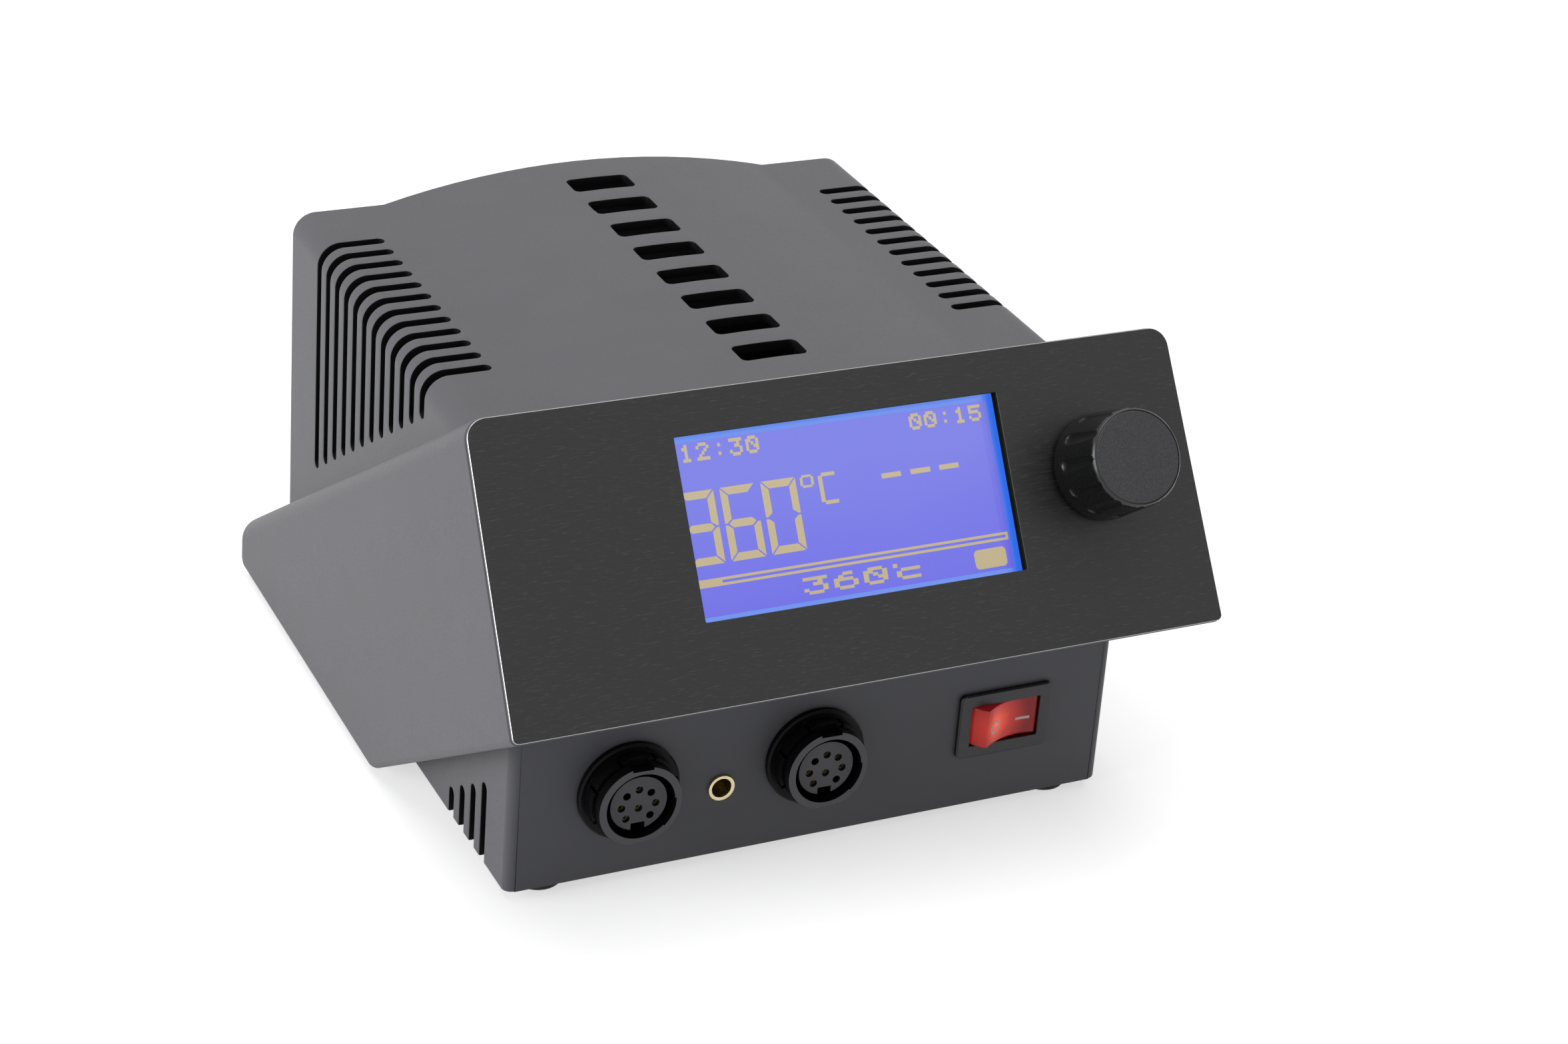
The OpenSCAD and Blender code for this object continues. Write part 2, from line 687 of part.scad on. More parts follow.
module display_backlight() { color("#6f6ce6") place() on_panel()
    translate([0, control_v, lcd_top]) round_plate(glass_w, glass_h, backlight_t, 0.4);
}

module display_frame() { color("#8d8f92") place() on_panel() translate([0, control_v, 0])
    difference() {
        translate([0, 0, lcd_top])
            round_plate(frame_w, frame_h, web_z - lcd_top, 1);
        translate([0, 0, lcd_top - 1])
            round_plate(glass_w + 2 * glass_clear, glass_h + 2 * glass_clear, far, 0.6);
    }
}

module display_board() { color("#1f5c37") place() on_panel() difference() {
    translate([0, lcd_v, lcd_back]) round_plate(lcd_board_w, lcd_board_h, board_t, 1);
    for (p = lcd_screw_places) translate([p[0], p[1], lcd_back - 1])
        cylinder(h = board_t + 2, r = lcd_screw_r + screw_clear);
} }

module display_chips() { color("#1c1c1d") place() on_panel()
    for (c = [[-24, 6, 14], [2, 8, 10], [22, 7, 10]])
        translate([c[0] - c[2] / 2, lcd_v - c[1] / 2 + 6, lcd_back - 2]) cube([c[2], c[1] * 1.4, 2]);
}

module display_screws() { color("#b9bbbe") place() on_panel()
    for (p = lcd_screw_places) translate([p[0], p[1], lcd_back]) mirror([0, 0, 1])
        screw(board_t + lcd_screw_l - 0.5, lcd_screw_r, 2.3, 1.4);
}

// ---------------------------------------------------------------- encoder and knob

encoder_w = 12.4;
encoder_t = 6.8;
nut_t = 2;
bush_top = nut_t + 0.6;
encoder_back = web_z - encoder_t;
plunger_t = 1;
plunger_r = shaft_r + 0.6;
shaft_foot = encoder_back + 1.2 + press_travel + 0.3 + plunger_t;
shaft_top = knob_face - knob_cap_t - 2;

module at_knob() { place() on_panel() translate([knob_x, control_v, 0]) children(); }

module encoder_body() { color("#3a3f44") at_knob() difference() {
    union() {
        translate([-encoder_w / 2, -encoder_w / 2, encoder_back]) cube([encoder_w, encoder_w, encoder_t]);
        translate([0, 0, web_z - eps]) cylinder(h = bush_top - web_z + eps, r = bush_r);
    }
    translate([0, 0, encoder_back]) cylinder(h = far, r = shaft_r + shaft_clear);
    translate([0, 0, encoder_back + 1.2])
        cylinder(h = encoder_t - 2.4, r = plunger_r + 0.3);
    translate([0, 0, encoder_back - 1]) cylinder(h = 3, r = 1.3);
} }

module encoder_nut() { color("#c4c6c8") at_knob() nut(bush_r + 2, bush_r, nut_t); }

module encoder_plunger() { color("#d9dadc") at_knob() {
    translate([0, 0, shaft_foot - plunger_t]) cylinder(h = plunger_t, r = plunger_r);
    translate([0, 0, shaft_foot - plunger_t - 1.5]) cylinder(h = 1.6, r = 1);
} }

module encoder_shaft() { color("#c9cbcd") at_knob() difference() {
    translate([0, 0, shaft_foot]) cylinder(h = shaft_top - shaft_foot, r = shaft_r);
    translate([shaft_r * 0.5, -shaft_r, shaft_top - 7]) cube([shaft_r, 2 * shaft_r, 8]);
} }

module knob() { color("#161617") at_knob() difference() {
    union() {
        translate([0, 0, knob_gap]) cylinder(h = 0.6, r1 = knob_r - 0.4, r2 = knob_r);
        translate([0, 0, knob_gap + 0.6])
            cylinder(h = knob_h - 0.6 - knob_bevel, r1 = knob_r, r2 = knob_rim_r);
        translate([0, 0, knob_face - knob_bevel])
            cylinder(h = knob_bevel, r1 = knob_rim_r, r2 = knob_cap_r + 0.25);
    }
    // the seat of the face disc, the hollow over the nut, and the shaft's bore
    translate([0, 0, knob_face - knob_cap_t]) cylinder(h = far, r = knob_cap_r + 0.1);
    difference() {
        translate([0, 0, knob_gap - 1]) cylinder(h = knob_h - knob_cap_t - 2 + 1, r = knob_rim_r - 1.9);
        translate([0, 0, bush_top + press_travel + 0.4]) cylinder(h = far, r = shaft_r + 2);
    }
    difference() {
        cylinder(h = shaft_top, r = shaft_r);
        translate([shaft_r * 0.5, -shaft_r, shaft_top - 7]) cube([shaft_r, 2 * shaft_r, 8]);
    }
    for (i = [0 : flute_count - 1]) rotate(i * 360 / flute_count - 5) flute();
} }
knob_bevel = 0.8;
cap_edge = 0.12;

// Round-bottomed groove along the knob's side, open at the front rim
module flute() {
    translate([knob_r + flute_r - flute_depth, 0, knob_gap + 2.2 + flute_r])
        rotate([0, -atan((knob_r - knob_rim_r - flute_fade) / knob_h), 0]) {
            cylinder(h = knob_h, r = flute_r, $fn = 32);
            sphere(flute_r, $fn = 32);
        }
}

module knob_cap() { color("#1d1d1e") at_knob() translate([0, 0, knob_face - knob_cap_t]) {
    cylinder(h = knob_cap_t - cap_edge, r = knob_cap_r);
    translate([0, 0, knob_cap_t - cap_edge - eps])
        cylinder(h = cap_edge + eps, r1 = knob_cap_r, r2 = knob_cap_r - cap_edge);
} }

// ---------------------------------------------------------------- sockets

insert_gap = 0.05;
well_floor = 1;
insert_face = socket_out - insert_deep;
key_w = 2.9;
lug_r = flange_r - 1.2;
lug_top = flange_t + 2.5;
slot_from = flange_t - 0.4;
lug_count = 8;
contact_angles = [90, 135, 45, 0, 315, 225, 180];
contact_points = concat([[0, -2 * contact_drop]],
    [for (a = contact_angles) contact_circle_r * [cos(a), sin(a)] - [0, contact_drop]]);
// Which of the eight positions hold a contact, for the left and the right socket
contacts_in = [[0, 1, 4, 6, 7], [0, 1, 3, 4, 6, 7]];

module socket_shells() { color("#1f1f20") place() for (x = socket_xs) on_front(x, socket_z)
    difference() {
        union() {
            translate([0, 0, -socket_back]) cylinder(h = socket_back + eps, r = socket_thread_r);
            cylinder(h = flange_t - 0.8, r = flange_r);
            translate([0, 0, flange_t - 0.8 - eps])
                cylinder(h = 0.3 + eps, r1 = flange_r, r2 = flange_r - 0.3);
            cylinder(h = lug_top, r = lug_r);
            cylinder(h = socket_out - 1, r = ring_r - 0.35);
            translate([0, 0, socket_out - 2.2]) cylinder(h = 2.2, r = ring_r);
        }
        translate([0, 0, well_floor]) cylinder(h = far, r = ring_in_r);
        translate([0, 0, -far / 2]) cylinder(h = far, r = insert_r + insert_gap);
        // slots between the lugs that a key turns the socket by
        for (k = [0 : lug_count - 1]) rotate((k + 0.5) * 360 / lug_count)
            translate([ring_r - 0.3, -0.35, slot_from]) cube([far, 0.7, lug_top + 0.15 - slot_from]);
        // bayonet notches outside the front ring, and a wider arc inside it
        ring_notch(89, 4.4, 0.8, 3);
        ring_notch(-86, 4.2, 0.5, 3);
        ring_arc(-46, 4, 0.3);
    }
}

// Notch in the front ring's outside at an angle, cut to a depth across and along
module ring_notch(a, w, across, along) {
    rotate(a) translate([ring_r - across, -w / 2, socket_out - along]) cube([5, w, along + 1]);
}

// Wider part of the front ring's bore between two angles
module ring_arc(from, to, across) {
    reach = ring_r * 2;
    translate([0, 0, well_floor + 0.5]) intersection() {
        cylinder(h = far, r = ring_in_r + across);
        linear_extrude(height = far) polygon([[0, 0], reach * [cos(from), sin(from)],
            reach * [cos((from + to) / 2), sin((from + to) / 2)], reach * [cos(to), sin(to)]]);
    }
}

module socket_nuts() { color("#b7b9bc") place() for (x = socket_xs) on_front(x, socket_z)
    translate([0, 0, -front_t - 2.5]) nut(socket_thread_r * 1.28, socket_thread_r, 2.5);
}

module socket_inserts() { color("#232324") place() for (x = socket_xs) on_front(x, socket_z)
    difference() {
        translate([0, 0, -socket_back]) cylinder(h = socket_back + insert_face, r = insert_r);
        for (p = contact_points) translate([p[0], p[1], -far / 2])
            cylinder(h = far, r = contact_hole_r, $fn = 20);
        translate([-key_w / 2, -insert_r - 1, well_floor]) cube([key_w, 2.6, far]);
    }
}

// Brass contact tubes with solder tails
module socket_contacts() { color("#b9923f") place() for (k = [0, 1])
    on_front(socket_xs[k], socket_z) for (i = contacts_in[k])
        translate([contact_points[i][0], contact_points[i][1], -socket_back - 3]) difference() {
            cylinder(h = socket_back + insert_face + 2, r = contact_hole_r, $fn = 20);
            translate([0, 0, socket_back]) cylinder(h = far, r = contact_hole_r * 0.6, $fn = 20);
        }
}

bond_thread_r = bond_r - 0.4;

module bonding_socket() { color("#c9a64a") place() on_front(bond_x, bond_z) difference() {
    union() {
        cylinder(h = 0.7, r = bond_r);
        translate([0, 0, -bond_bore_l - 4]) cylinder(h = bond_bore_l + 4 + eps, r = bond_thread_r);
    }
    translate([0, 0, 0.7 - bond_bore_l]) cylinder(h = bond_bore_l - 0.1, r = bond_bore_r);
    translate([0, 0, 0.55]) cylinder(h = 0.2, r1 = bond_bore_r, r2 = bond_bore_r + 0.2);
} }

module bonding_nut() { color("#c4c6c8") place() on_front(bond_x, bond_z)
    translate([0, 0, -front_t - 2.2]) nut(bond_thread_r + 1.9, bond_thread_r, 2.2);
}

// ---------------------------------------------------------------- mains switch

lip_t = 0.6;
cavity_half = switch_body_w / 2 - switch_wall;
rocker_r = cavity_half - rocker_gap;
cavity_h = rocker_h + 2 * rocker_gap;
lip_half = sqrt(pow(rocker_r, 2) - pow(pivot_depth - lip_t, 2)) + rocker_gap;
pivot_z = bezel_t - pivot_depth;
cavity_d = switch_body_d - 2.5;
axle_half = rocker_h / 2 + 1.3;

module switch_frame() { color("#3b3b3d") place() on_front(switch_x, switch_z) difference() {
    union() {
        round_plate(bezel_w, bezel_h, bezel_t - 0.3, 1.3);
        translate([0, 0, bezel_t - 0.3 - eps]) round_plate(bezel_w - 0.4, bezel_h - 0.4, 0.3 + eps, 1.1);
        translate([-switch_body_w / 2, -switch_body_h / 2, -switch_body_d])
            cube([switch_body_w, switch_body_h, switch_body_d + eps]);
    }
    translate([-lip_half, -cavity_h / 2, -1]) cube([2 * lip_half, cavity_h, 5]);
    translate([-cavity_half, -cavity_h / 2, -cavity_d])
        cube([2 * cavity_half, cavity_h, cavity_d + bezel_t - lip_t]);
    translate([0, 0, pivot_z]) rotate([90, 0, 0])
        cylinder(h = 2 * axle_half + 0.4, r = pivot_r + pivot_clear, center = true);
} }

// Each half of the face leans up to its end, and the ends are round about the pivot
module rocker_profile() {
    crown = pivot_depth + 0.1;
    skirt = 3.4;
    intersection() {
        circle(rocker_r, $fn = 96);
        union() {
            for (s = sides) polygon([[0, crown], [s * 2 * rocker_r, crown + 2 * rocker_r * tan(rocker_lean)],
                [s * 2 * rocker_r, crown - skirt], [0, crown - skirt]]);
            translate([-3.2, -2.6]) square([6.4, crown]);
        }
    }
}

module switch_rocker() { color("#c0392b", 0.9) place() on_front(switch_x, switch_z)
    translate([0, 0, pivot_z]) rotate([90, 0, 0]) rotate(-rocker_lean) {
        translate([0, 0, -rocker_h / 2]) linear_extrude(height = rocker_h) rocker_profile();
        cylinder(h = 2 * axle_half, r = pivot_r, center = true);
    }
}

module switch_terminals() { color("#c9b36a") place() on_front(switch_x, switch_z)
    for (i = [-1 : 1]) translate([i * 6.5 - 0.4, -2.4, -switch_body_d - 7]) cube([0.8, 4.8, 7]);
}

// ---------------------------------------------------------------- mains inlet

drawer_w = inlet_socket_w - 2 * drawer_gap;
slot_h = drawer_h + 2 * drawer_gap;
inlet_body_w = inlet_socket_w + 2 * inlet_wall;
inlet_body_h = slot_h + inlet_socket_h + 3 * inlet_wall;
inlet_body_d = inlet_socket_d + 5;
socket_mid = inlet_body_h / 2 - inlet_wall - inlet_socket_h / 2;
drawer_mid = -inlet_body_h / 2 + inlet_wall + slot_h / 2;
pin_places = [[-7, socket_mid - 2], [7, socket_mid - 2], [0, socket_mid + 2]];
pin_w = 2;
pin_h = 4;
sunk_h = 1.6;

module mains_inlet() { color("#1d1d1e") place() on_rear(inlet_x, inlet_z) difference() {
    union() {
        round_plate(inlet_flange_w, inlet_body_h + 3, inlet_flange_t, 4);
        translate([-inlet_body_w / 2, -inlet_body_h / 2, -inlet_body_d + inlet_flange_t])
            cube([inlet_body_w, inlet_body_h, inlet_body_d]);
    }
    translate([0, 0, inlet_flange_t - inlet_socket_d]) linear_extrude(height = far)
        translate([0, socket_mid]) inlet_mouth();
    translate([-inlet_socket_w / 2, drawer_mid - slot_h / 2, inlet_flange_t - drawer_d - drawer_gap])
        cube([inlet_socket_w, slot_h, far]);
    for (p = pin_places) translate([p[0] - pin_w / 2, p[1] - pin_h / 2, -far / 2]) cube([pin_w, pin_h, far]);
    for (s = sides) translate([s * inlet_screws_w / 2, 0, -1]) {
        cylinder(h = far, r = screw_r);
        translate([0, 0, 1 + inlet_flange_t - sunk_h])
            cylinder(h = sunk_h + eps, r1 = screw_r + seat_gap, r2 = screw_r + sunk_h + seat_gap);
    }
} }

// Socket outline with two cut corners along its upper edge
module inlet_mouth() {
    w = inlet_socket_w / 2;
    h = inlet_socket_h / 2;
    cut = 4;
    polygon([[-w, -h], [w, -h], [w, h - cut], [w - cut, h], [-w + cut, h], [-w, h - cut]]);
}

module inlet_pins() { color("#c9cbcd") place() on_rear(inlet_x, inlet_z)
    for (p = pin_places) {
        translate([p[0] - pin_w / 2, p[1] - pin_h / 2, inlet_flange_t - inlet_body_d])
            cube([pin_w, pin_h, inlet_body_d - 2.5]);
        translate([p[0] - 0.4, p[1] - pin_h / 2, inlet_flange_t - inlet_body_d - 7]) cube([0.8, pin_h, 7.1]);
    }
}

module inlet_screws() { color("#c4c6c8") place() for (s = sides)
    on_rear(inlet_x + s * inlet_screws_w / 2, inlet_z) difference() {
        union() {
            translate([0, 0, inlet_flange_t - sunk_h])
                cylinder(h = sunk_h, r1 = screw_r, r2 = screw_r + sunk_h);
            translate([0, 0, -6]) cylinder(h = 6 + inlet_flange_t - sunk_h + eps, r = screw_r);
        }
        for (a = [0, 90]) rotate(a) translate([-1.6, -0.35, inlet_flange_t - 0.8]) cube([3.2, 0.7, 1]);
    }
}

module fuse_drawer() { color("#2a2a2b") place() on_rear(inlet_x, inlet_z)
    translate([0, drawer_mid, inlet_flange_t - drawer_d]) difference() {
        union() {
            translate([-drawer_w / 2, -drawer_h / 2, 0]) cube([drawer_w, drawer_h, drawer_d]);
            translate([-6, -drawer_h / 2, drawer_d - eps]) cube([12, 1.4, 1.2]);
        }
        // the trough that holds the fuse, open upwards
        translate([-fuse_l / 2, -drawer_h / 2 + 1, 1.4]) cube([fuse_l, drawer_h, 2 * fuse_r]);
    }
}

module fuse() { color("#d8dfe2") place() on_rear(inlet_x, inlet_z)
    translate([-fuse_l / 2, drawer_mid - drawer_h / 2 + 1 + fuse_r, inlet_flange_t - drawer_d + 1.4 + fuse_r])
        rotate([0, 90, 0]) cylinder(h = fuse_l, r = fuse_r);
}

// ---------------------------------------------------------------- feet and screws

module rubber_feet() { color("#18181a") place() for (p = foot_places)
    translate([p[0], p[1], -foot_h]) difference() {
        union() {
            cylinder(h = 0.5, r1 = foot_r - 0.5, r2 = foot_r);
            translate([0, 0, 0.5]) cylinder(h = foot_h - 0.5, r = foot_r);
        }
        translate([0, 0, -1]) cylinder(h = foot_h / 2 + 1, r = head_r + 0.1);
        translate([0, 0, -1]) cylinder(h = far, r = screw_r);
    }
}

module foot_screws() { color("#b9bbbe") place() for (p = foot_places)
    translate([p[0], p[1], -foot_h / 2]) mirror([0, 0, 1])
        screw(foot_h / 2 + foot_boss_h - 1.2, screw_r, head_r, min(head_h, foot_h / 2 - 0.3));
}

module cover_screws() { color("#8f9194") place() for (s = sides) for (y = cover_boss_y)
    translate([s * cover_boss_x, y, 0]) mirror([0, 0, 1]) screw(floor_t + 10);
}

module hood_screws() { color("#b9bbbe") place() for (s = sides) for (y = hood_screw_y)
    translate([s * (body_half(hood_screw_z(y)) - cover_wall - seat_gap), y, hood_screw_z(y)])
        rotate([0, -s * 90, 0]) screw(cover_wall + 5);
}

module rear_screws() { color("#8f9194") place() for (s = sides) for (z = rear_boss_z)
    on_rear(s * rear_boss_x, z) screw(rear_t + rear_boss_d - 1.5);
}

// ---------------------------------------------------------------- transformer

core_y = (inner_front + inner_rear) / 2 + 13.5;
core_leg = core_w / 3;
core_side = core_leg / 2;
core_window_h = core_h - 2 * core_side;
bobbin_gap = 0.3;
bobbin_wall = 1.2;
tube_y = core_leg + 2 * bobbin_gap;
tube_x = core_t + 2 * bobbin_gap;
coil_y = 2 * core_leg - 2 * bobbin_gap;
coil_x = core_t + 2 * coil_out;
bobbin_h = core_window_h - 2 * bobbin_gap;
strap_w = core_t - 6;
strap_hole_y = [for (s = sides) core_y + s * (core_w / 2 + strap_t + strap_foot / 2)];

module at_core() { place() translate([core_x, core_y, floor_t]) children(); }

module transformer_core() { color("#6d6a66") at_core() difference() {
    translate([-core_t / 2, -core_w / 2, 0]) cube([core_t, core_w, core_h]);
    for (s = sides) translate([-core_t / 2 - 1, s * core_leg * 0.75 - core_side / 2, core_side])
        cube([core_t + 2, core_side, core_window_h]);
} }

module transformer_bobbin() { color("#e6e2d6") at_core()
    translate([0, 0, core_side + bobbin_gap]) difference() {
        union() {
            for (z = [0, bobbin_h - bobbin_wall])
                translate([-coil_x / 2, -coil_y / 2, z]) cube([coil_x, coil_y, bobbin_wall]);
            translate([-tube_x / 2 - bobbin_wall, -tube_y / 2 - bobbin_wall, 0])
                cube([tube_x + 2 * bobbin_wall, tube_y + 2 * bobbin_wall, bobbin_h]);
        }
        translate([-tube_x / 2, -tube_y / 2, -1]) cube([tube_x, tube_y, core_h]);
    }
}

module transformer_coil() { color("#b98f2c") at_core()
    translate([0, 0, core_side + bobbin_gap + bobbin_wall]) difference() {
        linear_extrude(height = bobbin_h - 2 * bobbin_wall) rounded(coil_x - 1.2, coil_y - 1.2, 4);
        translate([-tube_x / 2 - bobbin_wall, -tube_y / 2 - bobbin_wall, -1])
            cube([tube_x + 2 * bobbin_wall, tube_y + 2 * bobbin_wall, core_h]);
    }
}

module transformer_strap() { color("#9fa1a4") at_core() difference() {
    union() {
        translate([-strap_w / 2, -core_w / 2 - strap_t, 0])
            cube([strap_w, core_w + 2 * strap_t, core_h + strap_t]);
        translate([-strap_w / 2, -core_w / 2 - strap_t - strap_foot, 0])
            cube([strap_w, core_w + 2 * strap_t + 2 * strap_foot, strap_t]);
    }
    translate([-strap_w / 2 - 1, -core_w / 2, -1]) cube([strap_w + 2, core_w, core_h + 1]);
    for (y = strap_hole_y) translate([0, y - core_y, -1]) cylinder(h = 10, r = screw_r + screw_clear);
} }

module transformer_screws() { color("#b9bbbe") place() for (y = strap_hole_y)
    translate([core_x, y, floor_t + strap_t]) screw(strap_t + floor_t / 2 - 0.1);
}

// ---------------------------------------------------------------- main board

board_y = inner_front + board_front;
board_x = board_right - board_w;
pillar_in = 4;
pillar_places = [for (x = [board_x + pillar_in, board_right - pillar_in])
    for (y = [board_y + pillar_in, board_y + board_l - pillar_in]) [x, y]];
pillar_r = 2.8;

module main_board() { color("#1f6b3c") place() difference() {
    translate([board_x, board_y, board_z]) cube([board_w, board_l, board_t]);
    for (p = pillar_places) translate([p[0], p[1], 0]) cylinder(h = far, r = screw_r + screw_clear);
} }

module board_pillars() { color("#c9b36a") place() for (p = pillar_places)
    translate([p[0], p[1], floor_t]) difference() {
        union() {
            cylinder(h = board_up, r = pillar_r, $fn = 6);
            translate([0, 0, -floor_t / 2 + 0.1]) cylinder(h = floor_t, r = screw_r);
        }
        translate([0, 0, board_up - 5]) cylinder(h = far, r = screw_r);
    }
}

module board_screws() { color("#b9bbbe") place() for (p = pillar_places)
    translate([p[0], p[1], board_top]) screw(board_t + 4);
}

sink_w = 16;
sink_in = 12;
block_row = 12;
sink_l = board_l - sink_in - block_row - block_gap;
sink_x = board_right - 3 - sink_w;
sink_y = board_y + sink_in;
sink_base = 3;
triac_w = 10.2;
triac_h = 15;
triac_t = 4.4;
triac_pitch = sink_l / 2 - 1;
triac_up = 6;

module heat_sink() { color("#2f3032") place() translate([sink_x, sink_y, board_top]) {
    cube([sink_base, sink_l, sink_h]);
    for (i = [0 : fin_count - 1])
        translate([sink_base - eps, i * (sink_l - 1.6) / (fin_count - 1), 0])
            cube([sink_w - sink_base, 1.6, sink_h]);
} }

module power_triacs() { color("#202022") place() for (i = [0 : 1])
    translate([sink_x - triac_t, sink_y + 6 + i * triac_pitch, board_top]) {
        translate([0, 0, triac_up]) cube([triac_t, triac_w, triac_h]);
        for (k = [-1 : 1]) translate([triac_t / 2 - 0.4, triac_w / 2 - 0.4 + k * triac_w / 4, 0])
            cube([0.8, 0.8, triac_up + eps]);
    }
}

module capacitors() { color("#27405e") place() for (i = [0 : 1])
    translate([board_x + 6 + cap_r, board_y + 12 + cap_r + i * (2 * cap_r + 4), board_top]) {
        cylinder(h = cap_h - 1, r = cap_r);
        translate([0, 0, cap_h - 1 - eps]) cylinder(h = 1, r1 = cap_r, r2 = cap_r - 1);
    }
}

block_y = board_y + board_l - block_row;
block_x = board_x + 12;

module terminal_blocks() { color("#3f8a4e") place() for (i = [0 : 1])
    translate([block_x + i * 17, block_y, board_top]) difference() {
        cube([15, 8, 10]);
        for (k = [0 : 2]) translate([2.5 + k * 5, 4, 5]) cylinder(h = 6, r = 1.6, $fn = 20);
    }
}

lead_r = 1;
lead_gap = 0.1;
lead_rise = 22;
coil_side = core_x + (coil_x - 1.2) / 2;
lead_z = floor_t + core_h - core_side - bobbin_gap - bobbin_wall - 6;

// Two insulated leads from the winding to the first terminal block
module transformer_leads() { color("#b3312c") place() for (k = [0, 1]) {
    end = [block_x + 2.5 + k * 5, block_y + 4, board_top + 5 + lead_gap + lead_r];
    knee = end + [0, 0, lead_rise];
    start = [coil_side + lead_gap + lead_r, core_y + 2 + k * 6, lead_z];
    rod(start, knee, lead_r);
    rod(knee, end, lead_r);
    translate(knee) sphere(lead_r + 0.2, $fn = 24);
} }

// Round rod from one point to another
module rod(from, to, r) {
    run = to - from;
    flat = norm([run[0], run[1]]);
    translate(from) rotate([0, atan2(flat, run[2]), atan2(run[1], run[0])])
        cylinder(h = norm(run), r = r, $fn = 24);
}

// ---------------------------------------------------------------- ribbon cable

ribbon_w = 14;
ribbon_x = board_x + 23;
header_h = 6;
header_t = 5;
main_header_y = board_y + 3;
main_header_z = board_top + header_h;
// Where the cable leaves the display board's header
lcd_header_v = 7;
lcd_header_out = lcd_back - header_h;
lcd_end = [0, panel_z] + lcd_header_v * [up_y, up_z] + lcd_header_out * [-up_z, up_y];

module ribbon_headers() { color("#232325") place() {
    translate([ribbon_x - ribbon_w / 2 - 2, main_header_y, board_top])
        cube([ribbon_w + 4, header_t, header_h]);
    on_panel() translate([ribbon_x - ribbon_w / 2 - 2, lcd_header_v - header_t / 2, lcd_header_out])
        cube([ribbon_w + 4, header_t, header_h]);
} }

module ribbon_cable() { color("#9a9ca0") place() {
    half = 0.5;
    main_y = main_header_y + header_t / 2;
    bend = [main_y, main_header_z + 14];
    turn = lcd_end + 4 * [up_z, -up_y];
    translate([ribbon_x - ribbon_w / 2, 0, 0]) rotate([90, 0, 90]) linear_extrude(height = ribbon_w)
        polygon([lcd_end + half * [up_y, up_z], turn + half * [up_y, up_z],
            bend + [half, half], [main_y + half, main_header_z], [main_y - half, main_header_z],
            bend - [half, half / 2], turn - half * [up_y, up_z], lcd_end - half * [up_y, up_z]]);
} }

// ---------------------------------------------------------------- earth stud

earth_x = -4;
earth_y = rear_y - 14;
earth_r = 2;

module earth_stud() { color("#c9cbcd") place() translate([earth_x, earth_y, floor_t / 2])
    cylinder(h = 14, r = earth_r);
}

module earth_nut() { color("#c4c6c8") place() translate([earth_x, earth_y, floor_t])
    nut(4, earth_r, 3.2);
}

cover();
hood();
base_tray();
rear_panel();
control_panel();
display_glass();
display_backlight();
display_frame();
display_board();
display_chips();
display_screws();
encoder_body();
encoder_nut();
encoder_plunger();
encoder_shaft();
knob();
knob_cap();
socket_shells();
socket_nuts();
socket_inserts();
socket_contacts();
bonding_socket();
bonding_nut();
switch_frame();
switch_rocker();
switch_terminals();
mains_inlet();
inlet_pins();
inlet_screws();
fuse_drawer();
fuse();
rubber_feet();
foot_screws();
cover_screws();
hood_screws();
rear_screws();
transformer_core();
transformer_bobbin();
transformer_coil();
transformer_strap();
transformer_screws();
transformer_leads();
main_board();
board_pillars();
board_screws();
heat_sink();
power_triacs();
capacitors();
terminal_blocks();
ribbon_headers();
ribbon_cable();
earth_stud();
earth_nut();
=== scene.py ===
import json
import math

import bmesh
import bpy
from mathutils import Matrix, Vector


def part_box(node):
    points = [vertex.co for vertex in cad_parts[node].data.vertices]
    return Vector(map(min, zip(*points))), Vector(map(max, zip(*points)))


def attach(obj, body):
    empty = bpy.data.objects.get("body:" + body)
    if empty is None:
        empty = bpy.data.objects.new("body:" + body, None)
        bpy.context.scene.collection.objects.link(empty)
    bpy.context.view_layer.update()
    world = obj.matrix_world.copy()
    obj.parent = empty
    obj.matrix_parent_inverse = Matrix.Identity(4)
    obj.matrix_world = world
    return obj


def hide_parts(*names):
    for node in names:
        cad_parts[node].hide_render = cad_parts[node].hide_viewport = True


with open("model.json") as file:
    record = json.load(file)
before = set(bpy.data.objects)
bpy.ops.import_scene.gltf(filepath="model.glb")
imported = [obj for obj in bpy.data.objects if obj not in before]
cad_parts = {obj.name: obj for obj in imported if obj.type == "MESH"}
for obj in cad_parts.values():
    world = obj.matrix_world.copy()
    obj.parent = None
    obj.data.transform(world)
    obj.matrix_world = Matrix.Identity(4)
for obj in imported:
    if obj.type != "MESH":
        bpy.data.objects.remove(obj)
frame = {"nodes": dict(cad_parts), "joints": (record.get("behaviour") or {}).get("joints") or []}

scene = bpy.context.scene
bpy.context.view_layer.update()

# ------------------------------------------------------------------ camera
# Stands in front of the station and to its left, and looks down on its corner. A long
# lens keeps the upright edges nearly parallel.
CAMERA_AT = Vector((-0.2709, -0.56245, 0.3664))
YAW = math.radians(27.300)
PITCH = math.radians(27.260)
ROLL = math.radians(4.515)
LENS = 76.46
SENSOR = 36
FAR_CLIP = 50

